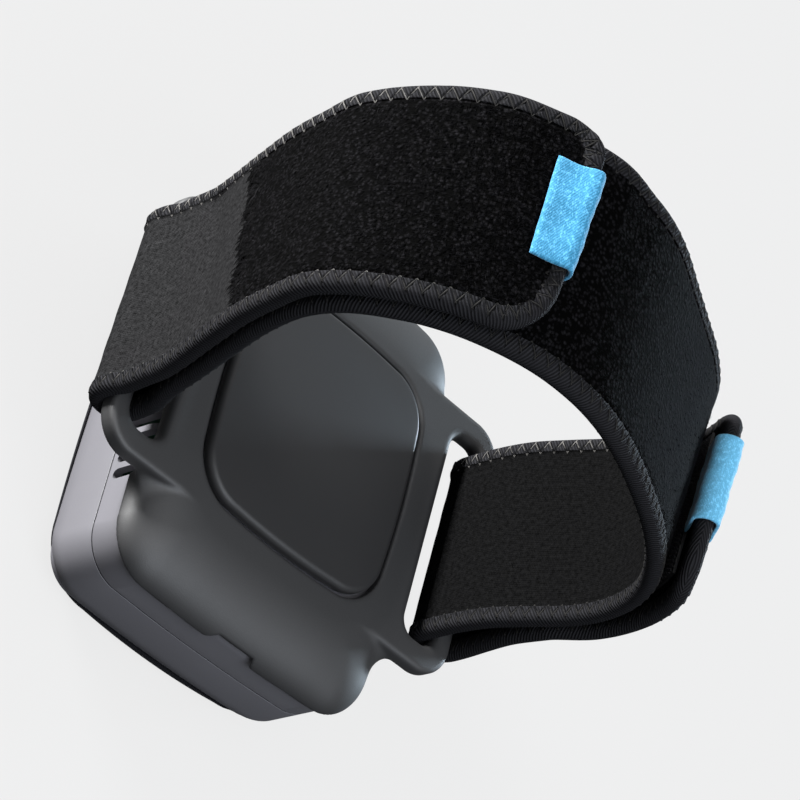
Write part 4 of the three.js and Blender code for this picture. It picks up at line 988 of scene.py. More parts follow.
def surface_net(field):
    """Quads on the zero surface of a grid of distances; points are in grid steps."""
    inside = field < 0
    cells = tuple(size - 1 for size in field.shape)
    total = np.zeros(cells + (3,))
    count = np.zeros(cells)
    edges = []
    for axis in range(3):
        first = [slice(None)] * 3
        second = [slice(None)] * 3
        first[axis], second[axis] = slice(0, -1), slice(1, None)
        first, second = tuple(first), tuple(second)
        index = np.argwhere(inside[first] != inside[second])
        here = tuple(index.T)
        start, end = field[first][here], field[second][here]
        where = index.astype(float)
        where[:, axis] += start / (start - end)
        a, b = [other for other in range(3) if other != axis]
        corners = []
        for step_a, step_b in ((0, 0), (-1, 0), (-1, -1), (0, -1)):
            cell = index.copy()
            cell[:, a] += step_a
            cell[:, b] += step_b
            cell = tuple(cell.T)
            np.add.at(total, cell, where)
            np.add.at(count, cell, 1)
            corners.append(np.ravel_multi_index(cell, cells))
        edges.append(np.column_stack(corners))
    used = np.flatnonzero(count.ravel())
    renumber = np.full(count.size, -1)
    renumber[used] = np.arange(len(used))
    points = total.reshape(-1, 3)[used] / count.ravel()[used][:, None]
    return points, renumber[np.concatenate(edges)]


def make_cradle(grid, crease):
    """The net on the grid, then each point moved onto the true surface along its slope."""
    low, high = (np.array(corner) for corner in CRADLE_BOX)
    axes = [np.arange(a, b + grid, grid) for a, b in zip(low, high)]
    x, y, z = np.meshgrid(*axes, indexing="ij", sparse=True)
    points, faces = surface_net(cradle_distance(x, y, z, crease))
    points = low + points * grid
    probe = np.eye(3) * CRADLE_PROBE
    for _ in range(PULL["rounds"]):
        here = cradle_distance(*points.T, crease)
        ahead = [cradle_distance(*(points + step).T, crease) for step in probe]
        behind = [cradle_distance(*(points - step).T, crease) for step in probe]
        slope = (np.array(ahead) - np.array(behind)).T / (2 * CRADLE_PROBE)
        steepness = np.maximum((slope**2).sum(1), PULL["flattest"])
        move = -PULL["share"] * (here / steepness)[:, None] * slope
        length = np.linalg.norm(move, axis=1)[:, None]
        points += move * np.minimum(1, PULL["reach"] * grid / np.maximum(length, TINY))
    return make_piece("cradle_moulding", points, faces, smooth_angle=180)


# Strap


def loop_line():
    """The inner layer's middle line: a smooth curve through the same points as in the part's source."""
    knots = [(x * LOOP["half_width"], CRADLE["face"] + z * LOOP["height"]) for x, z in LOOP_SHARES]
    knots = [(WRAP_RADIUS - BAR_X, BAR_Z), *knots, (BAR_X - WRAP_RADIUS, BAR_Z)]
    knots = np.array(knots, float)
    knots = np.vstack([2 * knots[0] - knots[1], knots, 2 * knots[-1] - knots[-2]])
    points = []
    for index in range(1, len(knots) - 2):
        a, b, c, d = knots[index - 1 : index + 3]
        ab, bc, cd = (math.sqrt(np.linalg.norm(q - p)) for p, q in ((a, b), (b, c), (c, d)))
        out_b = ((b - a) / ab - (c - a) / (ab + bc) + (c - b) / bc) * bc
        out_c = ((c - b) / bc - (d - b) / (bc + cd) + (d - c) / cd) * bc
        t = np.linspace(0, 1, 40, endpoint=index == len(knots) - 3)[:, None]
        cubic = (2 * b - 2 * c + out_b + out_c) * t**3
        square = (-3 * b + 3 * c - 2 * out_b - out_c) * t**2
        points.append(cubic + square + out_b * t + b)
    return np.concatenate(points)


def distances(points):
    return np.concatenate([[0], np.cumsum(np.linalg.norm(np.diff(points, axis=0), axis=1))])


def unit(vectors):
    return vectors / np.linalg.norm(vectors, axis=1)[:, None]


def follow(at, along, line):
    """The two coordinates of a line, or of directions along it, at given distances."""
    return [np.interp(at, along, line[:, axis]) for axis in (0, 1)]


def smoothstep(value, low, high):
    share = np.clip((value - low) / (high - low), 0, 1)
    return share * share * (3 - 2 * share)


class StrapPath:
    """The strap's middle line, from the top tail's tip to the side tail's, and ways to place things on it."""

    def __init__(self):
        self.loop = loop_line()
        self.loop_along = distances(self.loop)
        self.loop_length = self.loop_along[-1]
        top, side = TAILS["top"], TAILS["side"]
        step = PATH["step"]
        top_run = np.arange(top["reach"], 0, -step)
        top_foot = self.tail_line(top, np.array([0.0]))[0]
        side_foot = self.tail_line(side, np.array([0.0]))[0]
        loop_run = np.arange(step, self.loop_length, step)
        side_run = np.append(np.arange(step, side["reach"], step), side["reach"])
        line = np.concatenate(
            [
                self.tail_line(top, top_run),
                self.half_turn(top_foot, self.loop[0]),
                self.on_loop(loop_run, 0),
                self.half_turn(self.loop[-1], side_foot),
                self.tail_line(side, side_run),
            ]
        )
        along = distances(line)
        self.length = along[-1]
        self.top_bar = along[len(top_run)]
        self.side_bar = along[len(along) - len(side_run) - 1]
        even = np.linspace(0, self.length, round(self.length / PATH["even"]))
        self.along = even
        self.line = np.column_stack(follow(even, along, line))
        kernel = np.hanning(PATH["smooth"])
        kernel = kernel / kernel.sum()
        for axis in (0, 1):
            padded = np.pad(self.line[:, axis], PATH["smooth"] // 2, mode="reflect", reflect_type="odd")
            self.line[:, axis] = np.convolve(padded, kernel, "valid")
        self.run = unit(np.gradient(self.line, axis=0))
        self.across = np.column_stack([-self.run[:, 1], self.run[:, 0]])
        self.leans = {name: self.lean_along(lean) for name, lean in LEANS.items()}
        self.pile_far = self.top_at_height(PILE_START["far"])
        self.pile_near = self.top_at_height(PILE_START["near"])

    @staticmethod
    def half_turn(start, end):
        """Points round a bar, below the line from start to end."""
        middle, half = (start + end) / 2, (end - start) / 2
        below = np.array([half[1], -half[0]])
        turn = np.linspace(0, math.pi, 60)[1:-1, None]
        return middle - half * np.cos(turn) + below * np.sin(turn)

    def lean_along(self, lean):
        """How far one edge of the strap stands out from the loop's own line."""
        steps = np.arange(0, self.loop_length, PATH["search"])
        spots = self.on_loop(steps, 0)
        gap = np.hypot(self.line[:, :1] - spots[:, 0], self.line[:, 1:] - spots[:, 1])
        on_loop = steps[gap.argmin(1)]
        rise = smoothstep(on_loop, lean["start"], lean["full"])
        rise = rise - smoothstep(on_loop, lean["ease"], lean["end"])
        return lean["amount"] * np.clip(rise, 0, 1)

    def top_at_height(self, height):
        """Distance along the strap at which the layer from the left bar first reaches a height."""
        bar = int(np.searchsorted(self.along, self.top_bar))
        climb = self.line[:bar, 1][::-1]
        return float(self.along[bar - 1 - int(np.argmax(climb >= height))])

    def at_tail(self, tail, distance):
        """Distance along the strap of the tail's point at a given distance along the loop from its bar."""
        point = self.tail_line(tail, np.array([float(distance)]))[0]
        on_tail = self.along < self.top_bar if tail["side"] < 0 else self.along > self.side_bar
        gap = np.hypot(self.line[:, 0] - point[0], self.line[:, 1] - point[1])
        return float(self.along[np.argmin(np.where(on_tail, gap, np.inf))])

    def on_loop(self, distance, offset):
        """Points that stand out from the inner layer's middle line."""
        places = (distance, distance + PROBE, distance - PROBE)
        point, ahead, behind = (np.column_stack(follow(at, self.loop_along, self.loop)) for at in places)
        run = unit(ahead - behind)
        outward = np.column_stack([-run[:, 1], run[:, 0]])
        return point + outward * np.reshape(offset, (-1, 1))

    def tail_line(self, tail, distance):
        """Middle line of the outer layer at distances from the bar."""
        closing = 1 - smoothstep(distance, 0, tail["close"])
        hook_start = tail["reach"] - TAB["length"] - tail["hook"]
        lifting = smoothstep(distance, hook_start - HOOK["ease"], hook_start)
        tip = np.clip((distance - tail["root"]) / (tail["reach"] - tail["root"]), 0, 1)
        spacing = LAYER_PITCH + (2 * WRAP_RADIUS - TURN_EASE[tail["side"]] - LAYER_PITCH) * closing
        spacing = spacing + (HOOK["thickness"] + CLEARANCE) * lifting + tail["lift"] * tip * tip
        along = distance if tail["side"] < 0 else self.loop_length - distance
        return self.on_loop(along, spacing)

    def place(self, along, y, offset):
        """Points on the strap: distance from the top tip, place across, and height over the middle line."""
        along = np.asarray(along, float)
        point, across, run = (follow(along, self.along, line) for line in (self.line, self.across, self.run))
        beyond = np.maximum(along - self.length, 0) + np.minimum(along, 0)
        on_loop = (along > self.top_bar) & (along < self.side_bar)
        to_far = np.asarray(y) / STRAP["width"] + 0.5
        lean = {name: np.interp(along, self.along, amount) for name, amount in self.leans.items()}
        lean = sum(lean[name] for name in FAR_LEANS) * to_far + lean["near"] * (1 - to_far)
        offset = offset + np.where(on_loop, lean, -lean)
        x = point[0] + across[0] * offset + run[0] * beyond
        z = point[1] + across[1] * offset + run[1] * beyond
        return np.stack([x, np.asarray(y) + PLATE["y"] + 0 * x, z], axis=-1)

    def direction(self, along, forward, sideways):
        """A direction on the strap's surface, from its share along and its share across."""
        run = follow(along, self.along, self.run)
        return np.stack([run[0] * forward, sideways + 0 * run[0], run[1] * forward], axis=-1)

    def outward(self, along):
        across = follow(along, self.along, self.across)
        return np.stack([across[0], 0 * across[0], across[1]], axis=-1)


def tip_inset(radius, left):
    short = np.maximum(radius - left, 0)
    return radius - np.sqrt(np.maximum(radius**2 - short**2, 0))


def edge_distance(left, y, tail):
    """How far a point of the flat strap lies from its cut edge; left is the distance to the tail's tip."""
    half = STRAP["width"] / 2
    found = np.minimum(half - np.abs(y), FAR_AWAY)
    if tail is None:
        return found
    found = np.minimum(found, left)
    for radius, room in ((tail["near"], y + half), (tail["far"], half - y)):
        corner = radius - np.hypot(radius - left, radius - room)
        found = np.where((left < radius) & (room < radius), corner, found)
    return np.maximum(found, 0)


def half_thickness(inset):
    rim = STRAP["rim"] / 2
    nose = rim * np.sqrt(np.clip(1 - (1 - np.minimum(inset, NOSE) / NOSE) ** 2, 0, 1))
    step = smoothstep(inset, STRAP["rim_width"], STRAP["rim_width"] + STRAP["rim_step"])
    return nose - (rim - STRAP["field"] / 2) * step


def wander(y):
    """How the line where the pile begins strays from a straight one."""
    return 0.7 * np.sin(y * 0.61) + 0.5 * np.sin(y * 1.53 + 1)


def pile_share(path, along, y, face):
    """1 on loop pile and 0 on the smooth knit. Face is +1 for the side that the hooks grip, else -1."""
    if face > 0:
        return np.ones_like(along * y)
    share = 0.5 - y / STRAP["width"]
    edge = path.pile_far + (path.pile_near - path.pile_far) * share
    on_top = smoothstep(edge - along - wander(y), -0.8, 0.8)
    on_side = smoothstep(along - path.side_bar - PILE_START["side"] - wander(y), -0.8, 0.8)
    return np.maximum(on_top, on_side)


def rolled_over(inset):
    """How much further it is over the rounded edge to a place than across the flat strap."""
    steps = np.linspace(0, EDGE_COLUMNS[-1], 400)
    over = np.concatenate([[0], np.cumsum(np.hypot(np.diff(steps), np.diff(half_thickness(steps))))])
    extra = (over[-1] - over) - (steps[-1] - steps)
    return np.interp(inset, steps, extra)


def cloth_places(path, along, y):
    """Places on the cloth, stretched outwards where the edge rolls over."""
    inset = strap_inset(path, along, y)
    small = 0.05
    to_tip = strap_inset(path, along + small, y) - strap_inset(path, along - small, y)
    to_edge = strap_inset(path, along, y + small) - strap_inset(path, along, y - small)
    length = np.maximum(np.hypot(to_tip, to_edge), 1e-6)
    extra = rolled_over(inset)
    return along - to_tip / length * extra, y - to_edge / length * extra


def seam_places(path, along, y, pitch):
    """For each place, how many stitches along the seam it lies, and how far in from the edge."""
    placed, _ = strap_outline(path, pitch / 2)
    dense, _ = strap_outline(path, OUTLINE_STEP)
    tree = kdtree.KDTree(len(dense))
    for index, (u, v) in enumerate(dense):
        tree.insert((u, v, 0), index)
    tree.balance()
    inset = strap_inset(path, along, y)
    near = np.flatnonzero(inset < EDGE_COLUMNS[-1] + 0.1)
    found = np.zeros(len(along))
    for index in near:
        found[index] = tree.find((along[index], y[index], 0))[1]
    return found / len(dense) * len(placed) / 2, inset


def surface_height(path, along, y, inset, face, pitch):
    """Height of the strap's surface over its middle line, with puckers under the stitches and soft pile."""
    pile = pile_share(path, along, y, face)
    field = smoothstep(inset, CLOTH_RISE["from"], CLOTH_RISE["full"])
    slant = along + PUCKER["slant"] * inset * np.sign(y)
    on_tape = smoothstep(inset, PUCKER["from"], PUCKER["full"])
    on_tape = on_tape * (1 - smoothstep(inset, PUCKER["ease"], PUCKER["end"]))
    pucker = PUCKER["height"] * np.sin(2 * math.pi * slant / pitch) * on_tape
    swell = np.sin(along * 0.41 + y * 0.23) * np.sin(y * 0.37 - along * 0.13)
    swell = swell + np.sin(along * 0.9 - y * 0.71) * 0.6
    from_fold = (path.top_bar - along - FOLD["place"] + FOLD["slant"] * y) / FOLD["width"]
    fold = FOLD["depth"] * np.exp(-(from_fold**2)) * (face < 0)
    rise = CLOTH_RISE["pile"] * pile + CLOTH_RISE["swell"] * swell - fold
    return half_thickness(inset) + pucker + field * rise


def strap_grid(path, start, end, step):
    """Rows and columns of places on a length of the flat strap, with their distances from the cut edge."""
    nose_rows = np.array(NOSE_ROWS)
    rows = np.arange(start, end, step)
    rows[-1] = end
    tail, left = None, np.full(len(rows), FAR_AWAY)
    if start == 0:
        tail = TAILS["top"]
        rows = left = np.concatenate([nose_rows, np.arange(NOSE + step / 2, end, step), [end]])
    if end == path.length:
        tail = TAILS["side"]
        inner_rows = np.arange(start + step, end - NOSE - step / 2, step)
        rows = np.concatenate([[start], inner_rows, end - nose_rows[::-1]])
        left = path.length - rows
    half = STRAP["width"] / 2
    near = -half + (tip_inset(tail["near"], left) if tail else 0 * rows)
    far = half - (tip_inset(tail["far"], left) if tail else 0 * rows)
    edge = np.array(EDGE_COLUMNS)
    inner_near, inner_far = near + edge[-1], far - edge[-1]
    middle = np.linspace(0, 1, INNER_COLUMNS + 2)[1:-1]
    between = inner_near[:, None] + (inner_far - inner_near)[:, None] * middle
    y = np.column_stack([near[:, None] + edge, between, far[:, None] - edge[::-1]])
    along = np.repeat(rows[:, None], y.shape[1], axis=1)
    return along, y, edge_distance(np.repeat(left[:, None], y.shape[1], axis=1), y, tail)


def make_strap_part(name, path, start, end, step, pitch, finishes):
    """A length of the strap between two distances from the top tail's tip, with any tip rounded off."""
    along, y, inset = strap_grid(path, start, end, step)
    row_count, columns = y.shape
    cloth_u, cloth_v = cloth_places(path, along.ravel(), y.ravel())
    seam = np.column_stack(seam_places(path, along.ravel(), y.ravel(), pitch))
    # Painted shade on the inside of the loop, away from both bars
    between_bars = smoothstep(along, path.top_bar + LOOP_INSIDE_SHADE["start"], path.top_bar + LOOP_INSIDE_SHADE["full"])
    between_bars = between_bars * smoothstep(path.side_bar - along, LOOP_INSIDE_SHADE["start"], LOOP_INSIDE_SHADE["full"])
    points, pile, loop_inside_shade, cloth = [], [], [], []
    for face in (1, -1):
        height = surface_height(path, along, y, inset, face, pitch)
        height = np.where(inset <= TINY, 0, height)
        points.append(path.place(along, y, face * height).reshape(-1, 3))
        pile.append(pile_share(path, along, y, face).ravel())
        loop_inside_shade.append((between_bars * (face < 0)).ravel())
        cloth.append(np.column_stack([cloth_u, cloth_v + (UNDERSIDE if face < 0 else 0)]) * MM)
    count = len(points[0])
    row, column = np.meshgrid(np.arange(row_count - 1), np.arange(columns - 1), indexing="ij")
    a = (row * columns + column).ravel()
    quad = np.column_stack([a, a + 1, a + columns + 1, a + columns])
    bound = (inset[:-1, :-1] + inset[1:, 1:]).ravel() / 2 < STRAP["rim_width"] + STRAP["tape_lap"]
    cut_rows = ([0] if start > 0 else []) + ([row_count - 1] if end < path.length else [])
    caps = []
    for here in (last * columns + col for last in cut_rows for col in range(columns - 1)):
        caps.append((here, here + 1, here + 1 + count, here + count))
    faces = [*quad, *(quad + count)[:, ::-1], *caps]
    mesh = new_mesh(name, np.concatenate(points), faces)
    for finish in finishes:
        mesh.materials.append(finish)
    finish_index = np.concatenate([bound, bound, np.zeros(len(caps), bool)])
    mesh.polygons.foreach_set("material_index", finish_index.astype(np.int32))
    store(mesh, "pile", np.concatenate(pile))
    store(mesh, "loop_inside_shade", np.concatenate(loop_inside_shade))
    store_uv(mesh, "cloth", np.concatenate(cloth))
    store_uv(mesh, "seam", seam)
    piece = link(bpy.data.objects.new(name, mesh))
    tool = bmesh.new()
    tool.from_mesh(mesh)
    bmesh.ops.remove_doubles(tool, verts=tool.verts, dist=WELD["points"])
    bmesh.ops.dissolve_degenerate(tool, edges=tool.edges, dist=WELD["edges"])
    bmesh.ops.recalc_face_normals(tool, faces=tool.faces)
    tool.to_mesh(mesh)
    tool.free()
    smooth(piece, 60)
    return piece


# Things repeated by the hundred


def scatter_group():
    """A node group that sets a small shape at every point, turned and sized as the point says."""
    group = bpy.data.node_groups.new("Set along", "GeometryNodeTree")
    inputs = {"Geometry": "Geometry", "Shape": "Object", "Finish": "Material"}
    inputs.update(Smallest="Float", Largest="Float", Seed="Int")
    for name, kind in inputs.items():
        group.interface.new_socket(name, in_out="INPUT", socket_type="NodeSocket" + kind)
    group.interface.new_socket("Geometry", in_out="OUTPUT", socket_type="NodeSocketGeometry")
    tree = Tree(group)
    given = tree.add("NodeGroupInput").outputs
    stored, vector = "GeometryNodeInputNamedAttribute", {"data_type": "FLOAT_VECTOR"}
    up, run, size = (tree.add(stored, vector, Name=name) for name in ("up", "run", "size"))
    turn = tree.add("FunctionNodeAxesToRotation", Primary_Axis=up, Secondary_Axis=run)
    limits = {"i2": given["Smallest"], "i3": given["Largest"]}
    chance = tree.add("FunctionNodeRandomValue", {"data_type": "FLOAT"}, Seed=given["Seed"], **limits)
    grown = tree.node("VectorMath", {"operation": "SCALE"}, i0=size, Scale=chance.outputs[1])
    shape = tree.add("GeometryNodeObjectInfo", Object=given["Shape"]).outputs["Geometry"]
    layout = {"Points": given["Geometry"], "Instance": shape, "Rotation": turn, "Scale": grown}
    placed = tree.add("GeometryNodeInstanceOnPoints", **layout)
    solid = tree.add("GeometryNodeRealizeInstances", Geometry=placed)
    painted = tree.add("GeometryNodeSetMaterial", Geometry=solid, Material=given["Finish"])
    tree.add("NodeGroupOutput", Geometry=painted)
    return group


def scatter(name, shape, finish, places, up, run, size, smallest=1.0, largest=1.0, seed=7):
    """One piece of many copies of a small shape. Places and sizes are millimetres."""
    mesh = new_mesh(name, places)
    for key, value, gain in (("up", up, 1.0), ("run", run, 1.0), ("size", size, MM)):
        store(mesh, key, np.asarray(value, float) * gain, "FLOAT_VECTOR")
    piece = link(bpy.data.objects.new(name, mesh))
    group = bpy.data.node_groups.get("Set along") or scatter_group()
    layout = piece.modifiers.new("layout", "NODES")
    layout.node_group = group
    keys = {item.name: item.identifier for item in group.interface.items_tree if item.in_out == "INPUT"}
    values = {"Shape": shape, "Finish": finish, "Smallest": smallest, "Largest": largest, "Seed": seed}
    for key, value in values.items():
        layout[keys[key]] = value
    settle(piece)
    remove(shape)
    for layer in ("up", "run", "size"):
        if layer in piece.data.attributes:
            piece.data.attributes.remove(piece.data.attributes[layer])
    return paint(piece, finish)


def tube(name, line, radii, sides=5, flatten=1.0):
    """A small closed tube along a line in the XZ plane, in the shape's own units."""
    line = np.asarray(line, float)
    turn = np.linspace(0, 2 * math.pi, sides, endpoint=False)
    rings = []
    for point, along, radius in zip(line, unit(np.gradient(line, axis=0)), radii):
        side = np.array([0.0, 1.0, 0.0])
        up = np.array([-along[2], 0.0, along[0]])
        rings.append(point + radius * (np.outer(np.cos(turn), side) + flatten * np.outer(np.sin(turn), up)))
    return make_piece(name, np.concatenate(rings), loft_faces(sides, len(rings)), smooth_angle=70, gain=1.0)


def strap_outline(path, spacing):
    """Stations round the whole flat strap: distance along it, place across, and the inward direction."""
    half = STRAP["width"] / 2
    end = path.length
    corners = [
        (TAILS["top"]["near"], -half, 0.0, 1, -1),
        (TAILS["side"]["near"], -half, end, -1, -1),
        (TAILS["side"]["far"], half, end, -1, 1),
        (TAILS["top"]["far"], half, 0.0, 1, 1),
    ]
    points = []
    for index, (radius, edge, tip, inwards, side) in enumerate(corners):
        centre = (tip + inwards * radius, edge - side * radius)
        first = math.pi + index * math.pi / 2
        for step in range(25):
            angle = first + math.pi / 2 * step / 24
            points.append((centre[0] + radius * math.cos(angle), centre[1] + radius * math.sin(angle)))
    points.append(points[0])
    points = np.array(points)
    run = distances(points)
    count = int(round(run[-1] / spacing / 2)) * 2
    even = np.arange(count) * run[-1] / count
    places = (even, (even + OUTLINE_PROBE) % run[-1], (even - OUTLINE_PROBE) % run[-1])
    placed, ahead, behind = (np.column_stack(follow(at, run, points)) for at in places)
    tangent = unit(ahead - behind)
    return placed, np.column_stack([-tangent[:, 1], tangent[:, 0]])


def strap_surface(path, flat, face, pitch, lift):
    """Points on one face of the strap, from their places on the flat strap."""
    along, y = flat[:, 0], flat[:, 1]
    inset = strap_inset(path, along, y)
    height = surface_height(path, along, y, inset, face, pitch) + lift
    return path.place(along, y, face * height)


def strap_inset(path, along, y):
    top = edge_distance(along, y, TAILS["top"])
    side = edge_distance(path.length - along, y, TAILS["side"])
    return np.minimum(top, side)


def stitch_legs(path, pitch, low, high):
    """Start, end and upward direction of each straight run of the zigzag between two distances."""
    placed, inwards = strap_outline(path, pitch / 2)
    reach = np.where(np.arange(len(placed)) % 2 == 0, STITCH["outer"], STITCH["inner"])
    flat = placed + inwards * reach[:, None]
    after = np.roll(flat, -1, axis=0)
    starts, ends, ups = [], [], []
    for face in (1, -1):
        first = strap_surface(path, flat, face, pitch, STITCH["lift"])
        second = strap_surface(path, after, face, pitch, STITCH["lift"])
        middle = (flat[:, 0] + after[:, 0]) / 2
        keep = (middle >= low) & (middle < high)
        starts.append(first[keep])
        ends.append(second[keep])
        ups.append(face * path.outward(middle)[keep])
    return np.concatenate(starts), np.concatenate(ends), np.concatenate(ups)


# How far along a stitch, how high and how thick; heights and thicknesses are shares of the thread's radius
THREAD_SHARES = (
    (-0.04, -2.2, 0.7),
    (0.02, -0.6, 0.95),
    (0.2, 0.45, 1.0),
    (0.5, 0.85, 1.0),
    (0.8, 0.45, 1.0),
    (0.98, -0.6, 0.95),
    (1.04, -2.2, 0.7),
)


def make_stitches(name, path, low, high, settings, finish):
    """The zigzag thread between two distances along the strap, one copy of a shape for each straight run."""
    starts, ends, ups = stitch_legs(path, settings.stitch_pitch / MM, low, high)
    run = ends - starts
    length = np.linalg.norm(run, axis=1)
    run /= length[:, None]
    ups = unit(ups - (ups * run).sum(1)[:, None] * run)
    radius = settings.thread_width / MM / 2
    along, rise, thickness = np.array(THREAD_SHARES).T
    shape = tube("stitch_shape", np.column_stack([along, 0 * along, rise * radius]), radius * thickness)
    size = np.column_stack([length, np.ones(len(length)), np.ones(len(length))])
    return scatter(name, shape, finish, starts, ups, run, size, seed=11)


def fibre_finish(name, colour):
    """Loose pile, each tuft a little lighter or darker than the next."""
    finish = Finish(name)
    chance = finish.node("NewGeometry").outputs["Random Per Island"]
    speck = finish.noise(finish.place(), 2600.0, 1.0)
    tone = finish.blend(finish.spread(chance, 0.55, 1.0), rgba(colour, 0.4), rgba(colour, 2.8))
    tone = finish.blend(finish.spread(speck, 0.35, 0.6, 0.5, 0.0), tone, rgba(colour, 0.3))
    finish.shade(Base_Color=tone, Roughness=0.9, Specular_IOR_Level=0.06)
    return finish.material


# Loose pile: lengths in millimetres, and how far the fibres lean and where they are combed to, in degrees
PILE_EDGE = {"length": (1.2, 2.8), "lean": (62, 86), "comb": (-12, 30)}
PILE_LONG = {"length": (0.7, 1.5), "lean": (46, 78), "comb": (-28, 32)}
PILE_SHORT = dict(PILE_LONG, length=(0.4, 0.8))
PILE_BORDER = 4.6
PILE_BOUNDARY = {"border": 4.5, "past": 0.9, "before": 2.4}
LOOP_PILE_GAP = 6.0
FIBRE = {"sunk": 0.1, "curl": 0.3, "radii": [0.06, 0.055, 0.012], "sizes": (0.8, 1.2)}


def make_fibres(name, path, places, face, kind, finish, pitch, seed):
    """Loose fibres of the pile at places on the flat strap, combed along one heading with some spread."""
    chance = np.random.default_rng(seed)
    count = len(places)
    root = strap_surface(path, places, face, pitch, -FIBRE["sunk"])
    out = face * path.outward(places[:, 0])
    angle = np.radians(chance.normal(*kind["comb"], count))
    tangent = path.direction(places[:, 0], np.cos(angle), np.sin(angle))
    tilt = np.radians(chance.uniform(*kind["lean"], count))[:, None]
    up = out * np.cos(tilt) + tangent * np.sin(tilt)
    run = tangent * np.cos(tilt) - out * np.sin(tilt)
    share = np.linspace(0, 1, 3)
    line = np.column_stack([FIBRE["curl"] * share**2, 0 * share, share])
    shape = tube("fibre_shape", line, FIBRE["radii"], sides=3)
    size = np.repeat(chance.uniform(*kind["length"], count)[:, None], 3, axis=1)
    return scatter(name, shape, finish, root, up, run, size, *FIBRE["sizes"], seed)


def pile_places(path, count, face, low, high, seed):
    """Places strewn over the pile on one face, between two distances along the strap."""
    chance = np.random.default_rng(seed)
    room = STRAP["width"] / 2 - PILE_BORDER
    flat = np.column_stack([chance.uniform(low, high, count), chance.uniform(-room, room, count)])
    on_pile = pile_share(path, *flat.T, face) > 0.5
    return flat[on_pile & (strap_inset(path, *flat.T) > PILE_BORDER)]


def boundary_places(path, count, seed):
    """Places along the slanted line where pile takes over from the knit."""
    chance = np.random.default_rng(seed)
    room = STRAP["width"] / 2 - PILE_BOUNDARY["border"]
    y = chance.uniform(-room, room, count)
    share = 0.5 - y / STRAP["width"]
    edge = path.pile_far + (path.pile_near - path.pile_far) * share - wander(y)
    back = chance.uniform(-PILE_BOUNDARY["past"], PILE_BOUNDARY["before"], count)
    return np.column_stack([edge - back, y])


# Hook pads and pull tabs


def tip_place(path, tail, left, y, height):
    """A place from its distance to the tail's tip; height is towards the loop."""
    left = np.asarray(left, float)
    along = left if tail["side"] < 0 else path.length - left
    return path.place(along, y, height)


def make_hook_pad(name, path, tail, finish):
    """The hook tape's backing: a thin slab with soft edges under the tail."""
    half, soft, low = HOOK["width"] / 2, HOOK["soft"], STRAP["rim"] / 2 + HOOK["gap"]
    top = low + HOOK["backing"]
    spread = np.linspace(half - soft, soft - half, 26)[1:-1]
    section = [(half - soft, low), (half, low + soft), (half, top - soft), (half - soft, top)]
    section += [(y, top) for y in spread]
    section += [(soft - half, top), (-half, top - soft), (-half, low + soft), (soft - half, low)]
    section += [(-y, low) for y in spread]
    y, height = np.array(section).T
    rings = []
    for row in np.linspace(TAB["length"] + CLEARANCE, TAB["length"] + tail["hook"], 40):
        rings.append(tip_place(path, tail, np.full(len(section), row), y, height))
    return loft(name, rings, finishes=[finish])


def make_hooks(name, path, tail, finish, seed):
    """Moulded hooks in rows on the pad, alternate rows facing opposite ways."""
    near, far = TAB["length"] + HOOK["first"], TAB["length"] + tail["hook"] - HOOK["last"]
    half = HOOK["width"] / 2 - HOOK["border"]
    rows, columns = np.arange(near, far, HOOK["row_pitch"]), np.arange(-half, half, HOOK["pitch"])
    left, y = [grid.ravel() for grid in np.meshgrid(rows, columns, indexing="ij")]
    turn = np.where(np.round((left - near) / HOOK["row_pitch"]).astype(int) % 2 == 0, 1.0, -1.0)
    along = left if tail["side"] < 0 else path.length - left
    base = tip_place(path, tail, left, y, np.full(len(left), STRAP["rim"] / 2 + HOOK["root"]))
    shape = tube("hook_shape", HOOK_LINE, HOOK_RADII, sides=4, flatten=0.8)
    size = np.ones((len(left), 3))
    run = path.direction(along, turn, 0 * turn)
    return scatter(name, shape, finish, base, path.outward(along), run, size, 0.95, 1.0, seed)


def tab_profile():
    """Middle line of the folded tape: distance from the tail's tip and height, from one end to the other."""
    reach, rise = TAB["length"] - CLEARANCE, STRAP["rim"] / 2 + CLEARANCE + TAB["thickness"] / 2
    points = [(left, rise) for left in np.linspace(reach, TAB["turn"], 16)]
    for step in range(1, 20):
        angle = math.pi * step / 20
        points.append((TAB["turn"] - TAB["bulge"] * math.sin(angle), rise * math.cos(angle)))
    points += [(left, -rise) for left in np.linspace(TAB["turn"], reach + TAB["lap"], 18)]
    return np.array(points)


def tab_section():
    """Outline of the tape cut across: place across the tail and height."""
    thick = TAB["thickness"] / 2
    soft = 0.8 * thick
    flat = (TAB["far"] - TAB["near"]) / 2 - soft
    spread = np.linspace(flat, -flat, 40)[1:-1]
    turn = [math.pi * step / 8 for step in range(9)]
    points = [(flat + soft * math.sin(angle), -thick * math.cos(angle)) for angle in turn]
    points += [(y, thick) for y in spread]
    points += [(-flat - soft * math.sin(angle), thick * math.cos(angle)) for angle in turn]
    return np.array(points + [(-y, -thick) for y in spread]).T


